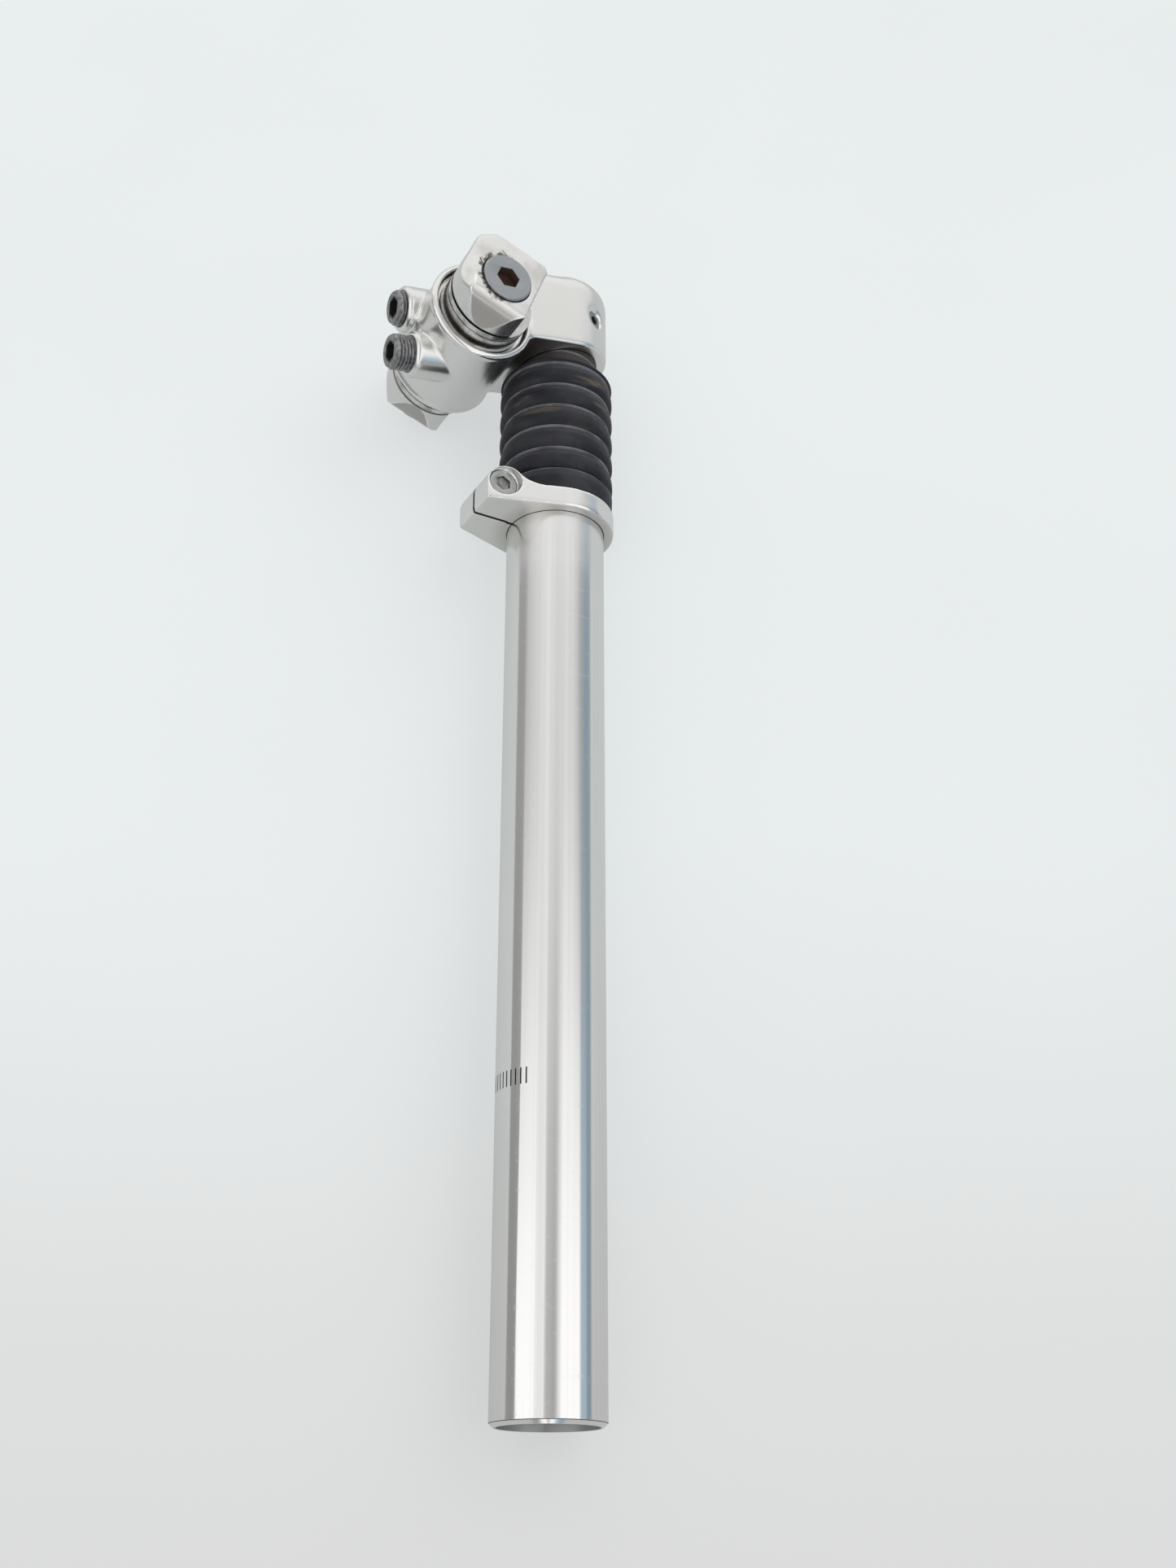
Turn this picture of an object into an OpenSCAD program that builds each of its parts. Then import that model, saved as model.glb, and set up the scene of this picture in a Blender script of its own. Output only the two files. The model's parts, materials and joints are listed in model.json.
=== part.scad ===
// Suspension seatpost with a sprung shaft, a rubber bellows, a pinch collar and an offset
// saddle clamp that two set screws tilt.
// +Z runs up the post, +X points to the saddle's nose and +Y to the rider's left.
// The origin is the centre of the tube's lower end.

/* [Post tube] */
// Outside diameter of the tube that slides into the frame
tube_d = 27.2; // [25:0.2:34]
// Length from the tube's foot to the shoulder under the collar
tube_len = 236; // [190:1:300]
// Wall of the tube
tube_wall = 1.7; // [1.4:0.1:2.2]
// Chamfer round the tube's foot
foot_chamfer = 1; // [0.4:0.1:1.4]
// Height of the turned neck above the shoulder
neck_h = 11; // [10:0.5:16]
// Height up the tube of the ticks that mark the least insertion
tick_z = 76; // [60:1:100]
// Length of each tick
tick_len = 4; // [2:0.5:6]
// Number of ticks
tick_count = 14; // [6:1:20]

/* [Suspension] */
// Stroke of the sprung shaft
travel = 28; // [20:1:40]
// Wall of the two bushes between the shaft and the tube
bush_wall = 1.4; // [1.2:0.1:2]
// Wall of the sprung shaft
shaft_wall = 3.1; // [2.6:0.1:3.6]
// Length of the upper guide bush inside the tube
guide_len = 35; // [25:1:45]
// Length of the lower slide bush
slide_len = 20; // [15:1:30]
// Diameter of the three round keys
key_d = 2.8; // [2:0.1:3.2]
// Wire of the coil spring
wire_d = 3.4; // [2.4:0.1:3.8]
// Turns of the coil spring
coil_turns = 20; // [12:1:24]
// Height of the preload plug
plug_h = 10; // [8:0.5:14]
// Width across the flats of the plug's hexagon socket
plug_key = 8; // [6:1:10]

/* [Head] */
// Backward tilt of the head on the post, in degrees
head_tilt = 12; // [6:1:16]
// Metal of the head outside the tube's radius
head_wall = 1; // [0.6:0.1:2]
// Wall of the cross barrel round the spindle
barrel_wall = 3.7; // [3:0.1:5]
// Width of the cross barrel
barrel_w = 29.8; // [28:0.2:34]
// How far the polished lip stands out of the barrel
lip_rise = 0.4; // [0.2:0.1:0.8]
// Height of the block above the barrel's axis
block_rise = 18.8; // [17:0.2:22]
// Depth of the block below the barrel's axis
block_drop = 6.2; // [5:0.2:8]
// Diameter of the grub screw that locks the shaft
lock_d = 5; // [4:1:6]

/* [Tilt adjuster] */
// Diameter of the cross spindle
spindle_d = 22.9; // [19:0.1:27.5]
// Diameter of the two set screws
tilt_screw_d = 10; // [8:0.5:10]
// Length of the set screws
tilt_screw_len = 15.4; // [14:0.2:20]
// Distance between the axes of the set screws
tilt_screw_pitch = 15; // [14:0.2:17]
// Turn of the spindle's flat from square at rest, in degrees
flat_turn = 13; // [0:1:13]

/* [Saddle clamp] */
// Diameter of the saddle's rails
rail_d = 7; // [6:0.1:8.5]
// Distance between the two rails
rail_gauge = 44; // [42:0.5:53]
// Forward slope of the rails at rest, in degrees
rail_slope = 20; // [0:1:25]
// Diameter of the clamp bolt
bolt_d = 8; // [6:0.5:9.6]
// Diameter of the clamp bolt's head and of its nut
bolt_head_d = 14.4; // [12.5:0.1:16]
// Width across the flats of the bolt's hexagon socket
bolt_key = 6; // [5:1:6]
// Metal of the outer clamps outside the rails
ear_wall = 4; // [2.6:0.1:4.5]

/* [Collar] */
// Wall of the collar's band
band_wall = 2.8; // [2.2:0.1:3.4]
// Height of the collar's band
band_h = 6; // [5:0.5:8]
// Width of the collar's lug, across the post
lug_w = 18; // [15:0.5:22]
// Radius of the lug's rounded top
lug_r = 4.7; // [4.7:0.1:6]
// Width of the collar's slot
slot_w = 0.5; // [0.3:0.1:1.2]

/* [Bellows] */
// Number of folds
fold_count = 5; // [3:1:7]
// Thickness of the rubber
rubber = 1.2; // [0.8:0.1:1.4]
// How far the folds stand out of the tube's radius
fold_reach = 2.6; // [2.4:0.1:3.2]

/* [Fits] */
// Radial clearance of sliding and turning fits
run_fit = 0.03; // [0.02:0.01:0.06]
// Gap between faces of pieces that move apart
face_gap = 0.3; // [0.2:0.05:0.4]
// Radial clearance of the clamp bolt in its holes
bolt_gap = 0.1; // [0.05:0.05:0.3]

/* [Hidden] */
$fn = 96;
BIG = 60; // longer than any cut
OVER = 1; // how far a cut runs past the face it opens
EPS = 0.01; // overlap of shapes that are joined

// Tube and shaft
tube_r = tube_d / 2;
bore_r = tube_r - tube_wall;
shoulder = 0.5;
neck_r = tube_r - shoulder;
tube_top = tube_len + neck_h;
neck_slot_w = 1.2; // slot that lets the collar close the neck on the guide bush
tick_turn = -143.3; // the first tick's direction, from +X
tick_pitch = 6.4; // angle between the ticks
tick_w = 0.4;
tick_depth = 0.12;
shaft_r = bore_r - bush_wall;
shaft_bore_r = shaft_r - shaft_wall;
groove_gap = 0.05;
key_r = key_d / 2;
key_sink = 0.25; // depth of the keys' axes under the shaft's surface
key_ring_r = shaft_r - key_sink;
guide_z = tube_top - guide_len;
flange_h = 2;
flange_gap = 0.1; // the flange is that much smaller than the neck
flange_top = tube_top + flange_h;
key_below = 1; // bush under the keys' lower ends
key_above = 3; // bush over the keys' upper ends
key_z = guide_z + key_below;
key_len = guide_len - key_below - key_above;
key_run_out = 1; // groove past the keys at either end of the stroke

// Sprung parts on the shaft's foot
bumper_top = guide_z - face_gap;
bumper_h = 7;
slide_top = bumper_top - bumper_h;
slide_z = slide_top - slide_len;
ring_h = 1.1;
ring_gap = 0.7; // from the retaining ring to the tube
ring_split = 6;
ring_r = bore_r - ring_gap;
ring_groove = 1;
ring_groove_r = shaft_r - ring_groove;
foot_below_ring = 3.4;
shaft_foot = slide_z - ring_h - foot_below_ring;
seat_h = 3.5;
seat_z = shaft_foot - seat_h;
seat_gap = 0.6; // from the spring's seats to the tube
seat_r = bore_r - seat_gap;
seat_stem = 14; // stem that centres the spring's upper end
seat_spigot = 8; // spigot in the shaft's bore
air_hole_r = 2;

// Preload adjuster and spring
plug_z = 4;
plug_top = plug_z + plug_h;
plug_floor = 3; // metal over the plug's socket
plug_hole_r = 1.5;
washer_gap = 0.2;
washer_z = plug_top + washer_gap;
washer_h = 2.2;
washer_stem = 8; // stem that centres the spring's lower end
washer_top = washer_z + washer_h;
touch = 0.1; // gap that keeps the spring off the faces it presses
spring_z = washer_top + touch;
spring_h = seat_z - touch - spring_z;
coil_gap = 1.8; // from the coil to the tube
coil_r = bore_r - coil_gap - wire_d / 2;
stem_gap = 0.6; // from the coil to the stems inside it
stem_r = coil_r - wire_d / 2 - stem_gap;
closed_pitch = 1.02 * wire_d; // rise of the closed first and last turns

// Collar
collar_r = tube_r + band_wall;
pinch_d = 5;
pinch_hole_gap = 0.2;
pinch_head_d = 8.6;
pinch_head_gap = 0.1;
pinch_head_h = 4.5;
pinch_head_proud = 0.3;
pinch_key = 4;
pinch_key_depth = 2.6;
pinch_tip = 0.4; // from the pinch bolt's end to the lug's face
lug_reach = 7.2; // from the tube to the pinch bolt's axis
lug_x = -(tube_r + lug_reach);
lug_rise = 6; // from the shoulder to the pinch bolt's axis
lug_z = tube_len + lug_rise;
lug_top = lug_z + lug_r;
lug_fall_r = 10; // hollow fall from the lug's top to the band
lug_fall_sink = 0.02; // how far it cuts in past both, so that it crosses them
seat_y = -lug_w / 2 + pinch_head_h - pinch_head_proud; // under the pinch bolt's head

// Cross barrel and head block
spindle_r = spindle_d / 2;
barrel_fit = 0.05;
barrel_bore_r = spindle_r + barrel_fit;
barrel_r = barrel_bore_r + barrel_wall;
lip_r = barrel_r + lip_rise;
lip_round = 1.3;
lip_wall = 1.8; // lip outside the recess
recess_r = lip_r - lip_wall;
recess_depth = 2.4;
recess_y = barrel_w / 2 - recess_depth;
head_r = tube_r + head_wall;
arm_web = 1.2;
setback = head_r + barrel_r + arm_web;
stroke_spare = 2.7; // gap left above the lug at full stroke
barrel_z = lug_top + travel + stroke_spare + lip_r;
function block_z(x, n) = barrel_z + (x + setback) * tan(head_tilt) + n / cos(head_tilt);
block_low = block_z(-head_r, -block_drop);
web_top = 4; // from the barrel to where the block's top starts
arm_fillet = 4; // round between the block's underside and the barrel
crown_round = 4;
crown_rise = 0.2; // the crown's flat over the block's top at the post's axis
roof = 7.8; // metal over the shaft's end
shaft_top = block_z(0, block_rise) - roof;
boot_h = 4.2; // from the head to the underside of the bellows' upper cuff
boot_top_z = block_low - boot_h;
stop_gap = 0.4;
lock_drop = 12.6; // from the crown to the lock screw
lock_z = block_z(0, block_rise) - lock_drop;
lock_turn = -63; // the lock screw's direction, from +X
lock_dimple = 0.4; // depth of the screw's seat in the shaft
lock_sink = 1.2; // from the head's surface to the screw's end
lock_key_depth = 1.6;
lock_spot_wall = 0.9;
lock_spot_r = lock_d / 2 + lock_spot_wall; // spot face round the screw
lock_spot_depth = 0.7;

// Tilt adjuster
tilt_screw_r = tilt_screw_d / 2;
boss_wall = 1.5;
boss_r = tilt_screw_r + boss_wall;
boss_rise = 2.8; // the bosses' ends stand that far out of the barrel
boss_reach = barrel_r + boss_rise;
boss_edge = 0.8;
boss_web_gap = 2.2; // the web between the bosses is narrower than they are by this each side
boss_web_sink = 2.5; // and lower than their ends by this
bolt_hole_r = bolt_d / 2 + bolt_gap;
flat_wall = 1.8; // metal between the bolt's hole and the flat
flat_h = bolt_hole_r + flat_wall; // from the spindle's axis to its flat
flat_side_gap = 1; // room on either side of the screws' tips
tip_r = 3;
tip_gap = 0.4;
tilt_key = tilt_screw_d / 2;
tilt_edge = 0.7;
function tip_reach(n) = (flat_h - n * sin(flat_turn)) / cos(flat_turn) + tip_gap;

// Saddle clamp
rail_r = rail_d / 2;
rail_y = rail_gauge / 2;
rail_fit = 0.05;
groove_r = rail_r + rail_fit;
rail_floor = 0.8; // metal between the bolt's hole and the rails
rail_rise = bolt_hole_r + rail_floor + rail_r;
rail_roof = 0.7; // metal over the rails
ear_top = rail_rise + rail_r + rail_roof;
clamp_side_gap = 1.4; // from the inner clamps to the recess's wall
clamp_r = recess_r - clamp_side_gap;
ear_step = 0.1; // the outer clamps are that much smaller than the inner ones
ear_r = clamp_r - ear_step;
ear_front_cut = 3.1; // flat cut on the outer clamps' front
ear_front = ear_r - ear_front_cut;
ear_cut_back = 4; // cut of the ear's rear top corner
ear_cut_front = 1.3;
part_in = 2; // from the rails' centres in to the clamps' parting plane
part_y = rail_y - part_in;
part_gap = 0.4;
clamp_gap = 0.4; // from the inner clamps to the recess's floor
spindle_y = recess_y + clamp_gap;
rim_groove_w = 0.4; // thin turned groove in the inner clamps' rims
rim_groove_y = part_y - part_in;
ear_y = rail_y + rail_r + ear_wall;
ear_slope_y = part_y + 0.7; // start of the ear's slanted underside
ear_slope = 15; // and its slope
ear_end_r = 3.2; // round between the underside and the outer end
ear_flank = [-7.9, -6.1]; // a point of the outer end's rear edge
ear_flank_turn = [0, 103, 141]; // the way the rear flank faces
bolt_floor = 1; // metal between the rails and the bolt's seat
bolt_seat_y = rail_y + rail_r + bolt_floor;
bolt_head_proud = 0.9;
bolt_head_y = ear_y + bolt_head_proud;
bolt_key_depth = 3;
nut_proud = 2.5;
nut_y = ear_y + nut_proud;
nut_key_depth = 2.3;
nut_floor = 2.2; // from the nut's end to the bolt's thread
seat_wall_gap = 0.1; // round the bolt's head and the nut
hex_spigot_r = 7;
hex_spigot_h = 3;
hex_gap = 0.05;
hex_end_gap = 0.2;
edge = 0.4; // chamfer of the bolts' heads and the nut

// Bellows
cuff_gap = 0.4; // from the collar's band to the lower cuff
boot_gap = 0.2; // from the upper cuff to the head
cuff_z = tube_len + band_h + cuff_gap;
cuff_h = neck_h - band_h - cuff_gap;
cuff_top = cuff_z + cuff_h;
fold_r = tube_r + fold_reach;
fold_depth = 0.9; // from the crest of a fold to its crease
boot_room_r = neck_r + 0.7; // inside of the boot beside the folds
low_crease_z = cuff_top + 1.5;
top_crease_z = boot_top_z - 1.35;
fold_pitch = (top_crease_z - low_crease_z) / fold_count;
bulge_r = (pow(fold_pitch / 2, 2) + pow(fold_depth, 2)) / (2 * fold_depth);

// ---- Frames and shared shapes ----

// The head's frame: X forward along the block, Z square to it, origin on the barrel's axis
module in_head() translate([-setback, 0, barrel_z]) rotate([0, -head_tilt, 0]) children();

// The rail clamp's frame: X along the rails, Z square to them
module in_clamp() translate([-setback, 0, barrel_z]) rotate([0, rail_slope, 0]) children();

// A flat shape in X and Z, given a width along Y
module across(y_from, y_to) translate([0, y_to, 0]) rotate([90, 0, 0])
    linear_extrude(y_to - y_from) children();

// A round bar along Y
module bar_y(r, y_from, y_to) translate([0, y_from, 0]) rotate([-90, 0, 0])
    cylinder(r = r, h = y_to - y_from);

// A round bar along X
module bar_x(r, x_from, x_to) translate([x_from, 0, 0]) rotate([0, 90, 0])
    cylinder(r = r, h = x_to - x_from);

// A ring round the post
module ring(r_in, r_out, z_from, z_to) difference() {
    translate([0, 0, z_from]) cylinder(r = r_out, h = z_to - z_from);
    translate([0, 0, z_from - 1]) cylinder(r = r_in, h = z_to - z_from + 2);
}

// A hexagon socket that opens upwards at z = 0
module hex_socket(flats, depth) translate([0, 0, -depth])
    cylinder(r = flats / sqrt(3), h = depth + 1, $fn = 6);

// A cap screw whose head's underside is at z = 0 and whose shank points down
module cap_screw(shank_r, shank_len, head_r, head_h, flats, depth) difference() {
    union() {
        translate([0, 0, -shank_len]) cylinder(r = shank_r, h = shank_len + EPS);
        cylinder(r = head_r, h = head_h - edge);
        translate([0, 0, head_h - edge]) cylinder(r1 = head_r, r2 = head_r - edge, h = edge);
    }
    translate([0, 0, head_h]) hex_socket(flats, depth);
}

// ---- Post tube ----

module outer_tube() color([0.80, 0.81, 0.80]) difference() {
    rotate_extrude() polygon([
        [0, 0],
        [tube_r - foot_chamfer, 0],
        [tube_r, foot_chamfer],
        [tube_r, tube_len],
        [neck_r, tube_len],
        [neck_r, tube_top],
        [0, tube_top]]);
    translate([0, 0, -OVER]) cylinder(r = bore_r, h = tube_top + 2 * OVER);
    translate([-BIG, -neck_slot_w / 2, tube_len + shoulder]) cube([BIG, neck_slot_w, BIG]);
    for (i = [0 : tick_count - 1]) rotate([0, 0, tick_turn - tick_pitch * i])
        translate([tube_r - tick_depth, -tick_w / 2, tick_z]) cube([OVER, tick_w, tick_len]);
}

module preload_plug() color([0.62, 0.63, 0.66]) difference() {
    translate([0, 0, plug_z]) cylinder(r = bore_r - run_fit, h = plug_h);
    translate([0, 0, plug_z]) mirror([0, 0, 1]) hex_socket(plug_key, plug_h - plug_floor);
    translate([0, 0, plug_z]) cylinder(r = plug_hole_r, h = plug_h + OVER);
}

module preload_washer() color([0.70, 0.70, 0.72]) difference() {
    union() {
        translate([0, 0, washer_z]) cylinder(r = seat_r, h = washer_h);
        translate([0, 0, washer_top - EPS]) cylinder(r = stem_r, h = washer_stem);
    }
    translate([0, 0, washer_z - OVER]) cylinder(r = air_hole_r, h = BIG);
}

// Height of the wire's centre after t turns; the first and last turns lie closed
function coil_lift(t) = let (rise = spring_h - wire_d)
    t < 1 ? closed_pitch * t
    : t > coil_turns - 1 ? rise - closed_pitch * (coil_turns - t)
    : closed_pitch + (rise - 2 * closed_pitch) * (t - 1) / (coil_turns - 2);

module main_spring() color([0.45, 0.46, 0.48]) {
    sides = 8;
    steps = 14;
    rings = coil_turns * steps;
    points = [for (i = [0 : rings], k = [0 : sides - 1])
        let (turn = 360 * i / steps, a = 360 * k / sides, r = coil_r + wire_d / 2 * cos(a))
        [r * cos(turn), r * sin(turn),
            spring_z + wire_d / 2 + coil_lift(i / steps) + wire_d / 2 * sin(a)]];
    walls = [for (i = [0 : rings - 1], k = [0 : sides - 1])
        let (a = i * sides + k, b = i * sides + (k + 1) % sides)
        each [[a, a + sides, b], [b, a + sides, b + sides]]];
    caps = [
        [for (k = [0 : sides - 1]) k],
        [for (k = [sides - 1 : -1 : 0]) rings * sides + k]];
    polyhedron(points, concat(walls, caps));
}

// ---- Sprung shaft ----

module spring_seat() color([0.70, 0.70, 0.72]) difference() {
    union() {
        translate([0, 0, seat_z]) cylinder(r = seat_r, h = seat_h);
        translate([0, 0, seat_z - seat_stem]) cylinder(r = stem_r, h = seat_stem + EPS);
        translate([0, 0, shaft_foot - EPS]) cylinder(r = shaft_bore_r, h = seat_spigot);
    }
    translate([0, 0, seat_z - seat_stem - OVER]) cylinder(r = air_hole_r, h = BIG);
}

module key_bars(r, z_from, z_to) for (i = [0 : 2]) rotate([0, 0, 60 + 120 * i])
    translate([key_ring_r, 0, z_from]) cylinder(r = r, h = z_to - z_from);

// The lock screw's axis as +X, at its height
module at_lock() translate([0, 0, lock_z]) rotate([0, 0, lock_turn]) children();

module inner_shaft() color([0.72, 0.72, 0.73]) difference() {
    ring(shaft_bore_r, shaft_r, shaft_foot, shaft_top);
    key_bars(key_r + groove_gap, key_z - key_run_out, key_z + key_len + travel + key_run_out);
    ring(ring_groove_r, BIG, slide_z - ring_h, slide_z);
    at_lock() bar_x(lock_d / 2, shaft_r - lock_dimple, BIG);
}

module lower_slide_bush() color([0.90, 0.89, 0.84])
    ring(shaft_r, bore_r - run_fit, slide_z, slide_top);

module shaft_retaining_ring() color([0.30, 0.30, 0.31]) difference() {
    ring(ring_groove_r, ring_r, slide_z - ring_h, slide_z);
    translate([0, -ring_split / 2, slide_z - ring_h - OVER])
        cube([BIG, ring_split, ring_h + 2 * OVER]);
}

module top_out_bumper() color([0.15, 0.15, 0.16])
    ring(shaft_r, bore_r - face_gap, slide_top, bumper_top);

module upper_guide_bush() color([0.90, 0.89, 0.84]) difference() {
    union() {
        translate([0, 0, guide_z]) cylinder(r = bore_r, h = guide_len + EPS);
        translate([0, 0, tube_top]) cylinder(r = neck_r - flange_gap, h = flange_h);
    }
    translate([0, 0, guide_z - OVER]) cylinder(r = shaft_r + run_fit, h = BIG);
    key_bars(key_r, guide_z - OVER, key_z + key_len);
}

module guide_keys() color([0.66, 0.66, 0.68]) key_bars(key_r, key_z, key_z + key_len);

module bottom_out_bumper() color([0.55, 0.35, 0.20])
    ring(shaft_r + face_gap, neck_r - 2 * flange_gap, flange_top, boot_top_z - travel - stop_gap);

// ---- Collar ----

// Outline seen from above: a band whose sides run out to the lug
module collar_plan() {
    circle(r = collar_r);
    reach = lug_x - lug_r;
    // Where a line from the lug's corner touches the band
    corner_turn = atan2(lug_w / 2, reach);
    touch_turn = corner_turn - acos(collar_r / norm([reach, lug_w / 2]));
    tx = collar_r * cos(touch_turn);
    ty = collar_r * sin(touch_turn);
    polygon([[reach, -lug_w / 2], [tx, -ty], [tx, ty], [reach, lug_w / 2]]);
}

// Outline seen from the side: the band, and the lug's rounded top with its hollow fall
module collar_side() {
    back = lug_x - lug_r;
    band_top = tube_len + band_h;
    fall_z = band_top + lug_fall_r - lug_fall_sink;
    reach = lug_r + lug_fall_r - lug_fall_sink;
    dx = sqrt(pow(reach, 2) - pow(fall_z - lug_z, 2));
    difference() {
        union() {
            // The band, and a wedge up to the line from the lug's axis to the fall's centre
            polygon([[back, tube_len], [BIG, tube_len], [BIG, band_top], [lug_x + dx, band_top],
                [lug_x + dx, fall_z], [lug_x, lug_z], [back, lug_z]]);
            translate([lug_x, lug_z]) circle(r = lug_r);
        }
        translate([lug_x + dx, fall_z]) circle(r = lug_fall_r);
    }
}

module clamp_collar() color([0.82, 0.83, 0.82]) difference() {
    intersection() {
        translate([0, 0, tube_len]) linear_extrude(BIG) collar_plan();
        across(-BIG, BIG) collar_side();
    }
    translate([0, 0, tube_len - OVER]) cylinder(r = neck_r, h = BIG);
    // Room for the bellows above the band
    translate([0, 0, tube_len + band_h]) cylinder(r = fold_r + face_gap, h = BIG);
    // Slot
    translate([-BIG, -slot_w / 2, tube_len - OVER]) cube([BIG, slot_w, BIG]);
    // Pinch bolt: counterbore, clearance hole and thread
    translate([lug_x, 0, lug_z]) {
        bar_y(pinch_head_d / 2 + pinch_head_gap, -BIG, seat_y);
        bar_y(pinch_d / 2 + pinch_hole_gap, -BIG, 0);
        bar_y(pinch_d / 2, -OVER, BIG);
    }
}

module collar_pinch_bolt() color([0.66, 0.67, 0.66])
    translate([lug_x, seat_y, lug_z]) rotate([90, 0, 0])
    cap_screw(pinch_d / 2, lug_w / 2 - seat_y - pinch_tip, pinch_head_d / 2, pinch_head_h,
        pinch_key, pinch_key_depth);

// ---- Bellows ----

// Stack of round bulges that meet in sharp creases
module bulges(r) for (i = [0 : fold_count - 1])
    translate([fold_r - bulge_r, low_crease_z + (i + 0.5) * fold_pitch]) intersection() {
        circle(r = r);
        translate([0, -fold_pitch / 2 - EPS]) square([bulge_r, fold_pitch + 2 * EPS]);
    }

module bellows() color([0.09, 0.09, 0.10]) difference() {
    rotate_extrude() difference() {
        union() {
            // Lower cuff on the tube's neck, up to the lowest crease
            translate([neck_r + touch, cuff_z])
                square([fold_r - neck_r - touch, low_crease_z - cuff_z]);
            // Folds
            bulges(bulge_r);
            // Shoulder over the top fold
            translate([shaft_r + touch, top_crease_z])
                square([fold_r - shaft_r - touch, boot_top_z - top_crease_z]);
            // Upper cuff on the shaft, under the head
            translate([shaft_r + touch, top_crease_z]) square([rubber, BIG / 2]);
        }
        bulges(bulge_r - rubber);
        // Room for the neck, the bush's flange and the shoulder's inside
        translate([0, cuff_z - OVER]) square([neck_r + touch, BIG / 2]);
        translate([0, tube_top + face_gap])
            square([boot_room_r, boot_top_z - rubber - tube_top - face_gap]);
    }
    in_head() translate([-BIG, -BIG, -block_drop - boot_gap]) cube(2 * BIG);
}

// ---- Head ----

module barrel_solid() rotate([-90, 0, 0]) rotate_extrude() {
    half = barrel_w / 2;
    translate([0, -half + lip_round]) square([barrel_r, 2 * (half - lip_round)]);
    translate([0, -half]) square([lip_r - lip_round, 2 * half]);
    for (s = [-1, 1]) translate([lip_r - lip_round, s * (half - lip_round)])
        circle(r = lip_round, $fn = 48);
}

// Side outline of the arm and block, in the head's frame
module block_side() {
    cx = sqrt(pow(barrel_r + arm_fillet, 2) - pow(block_drop + arm_fillet, 2));
    cz = -block_drop - arm_fillet;
    k = barrel_r / (barrel_r + arm_fillet);
    polygon([[0, barrel_r], [barrel_r + web_top, block_rise], [2 * BIG, block_rise],
        [2 * BIG, -block_drop], [0, -block_drop]]);
    difference() {
        polygon([[0, -block_drop + OVER], [cx, -block_drop + OVER], [cx, -block_drop],
            [k * cx, k * cz], [0, k * cz]]);
        translate([cx, cz]) circle(r = arm_fillet);
    }
}

// Section of the arm across the head, with rounded top edges
module arm_section() {
    flat = head_r - crown_round;
    translate([-head_r, -BIG]) square([2 * head_r, BIG + block_rise - crown_round]);
    translate([-flat, -BIG]) square([2 * flat, BIG + block_rise]);
    for (s = [-1, 1]) translate([s * flat, block_rise - crown_round]) circle(r = crown_round);
}

module head_block() intersection() {
    in_head() across(-BIG, BIG) block_side();
    union() {
        crown_z = block_z(0, block_rise) + crown_rise;
        side_h = crown_z - crown_round - block_low;
        rotate_extrude() {
            translate([0, block_low - OVER]) square([head_r, side_h + OVER]);
            translate([0, block_low]) square([head_r - crown_round, crown_z - block_low]);
            translate([head_r - crown_round, crown_z - crown_round]) circle(r = crown_round);
        }
        intersection() {
            in_head() rotate([90, 0, 90]) translate([0, 0, -BIG]) linear_extrude(2 * BIG)
                arm_section();
            translate([-setback, -head_r, block_low - BIG]) cube([setback, 2 * head_r, 2 * BIG]);
        }
    }
}

module seat_head() color([0.80, 0.80, 0.79]) difference() {
    union() {
        head_block();
        in_head() {
            barrel_solid();
            for (s = [-1, 1]) translate([0, 0, s * tilt_screw_pitch / 2]) mirror([1, 0, 0]) {
                bar_x(boss_r, 0, boss_reach - boss_edge);
                translate([boss_reach - boss_edge - EPS, 0, 0]) rotate([0, 90, 0])
                    cylinder(r1 = boss_r, r2 = boss_r - boss_edge, h = boss_edge + EPS);
            }
            // Web between the bosses
            web_w = 2 * (boss_r - boss_web_gap);
            translate([-boss_reach + boss_web_sink, -web_w / 2, -tilt_screw_pitch / 2])
                cube([boss_reach, web_w, tilt_screw_pitch]);
        }
    }
    in_head() {
        bar_y(barrel_bore_r, -BIG, BIG);
        bar_y(recess_r, recess_y, BIG);
        bar_y(recess_r, -BIG, -recess_y);
        for (s = [-1, 1]) translate([0, 0, s * tilt_screw_pitch / 2])
            bar_x(tilt_screw_r + run_fit, -BIG, 0);
    }
    translate([0, 0, block_low - OVER]) cylinder(r = shaft_r, h = shaft_top - block_low + OVER);
    at_lock() {
        bar_x(lock_d / 2, 0, BIG);
        bar_x(lock_spot_r, head_r - lock_spot_depth, BIG);
    }
}

module head_lock_screw() color([0.35, 0.34, 0.32]) at_lock() difference() {
    bar_x(lock_d / 2, shaft_r - lock_dimple, head_r - lock_sink);
    translate([head_r - lock_sink, 0, 0]) rotate([0, 90, 0]) hex_socket(lock_d / 2, lock_key_depth);
}

// ---- Tilt adjuster ----

module clamp_spindle() color([0.62, 0.63, 0.65]) difference() {
    in_head() rotate([0, flat_turn, 0]) difference() {
        bar_y(spindle_r, -spindle_y, spindle_y);
        // Flat for the set screws
        pocket = tilt_screw_r + flat_side_gap;
        translate([-BIG - flat_h, -pocket, -BIG]) cube([BIG, 2 * pocket, 2 * BIG]);
    }
    in_clamp() {
        bar_y(bolt_hole_r, -BIG, BIG);
        for (s = [-1, 1]) translate([0, s * (spindle_y - hex_spigot_h - hex_end_gap), 0])
            rotate([-90 * s, 0, 0]) cylinder(r = hex_spigot_r + hex_gap, h = BIG, $fn = 6);
    }
}

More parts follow.
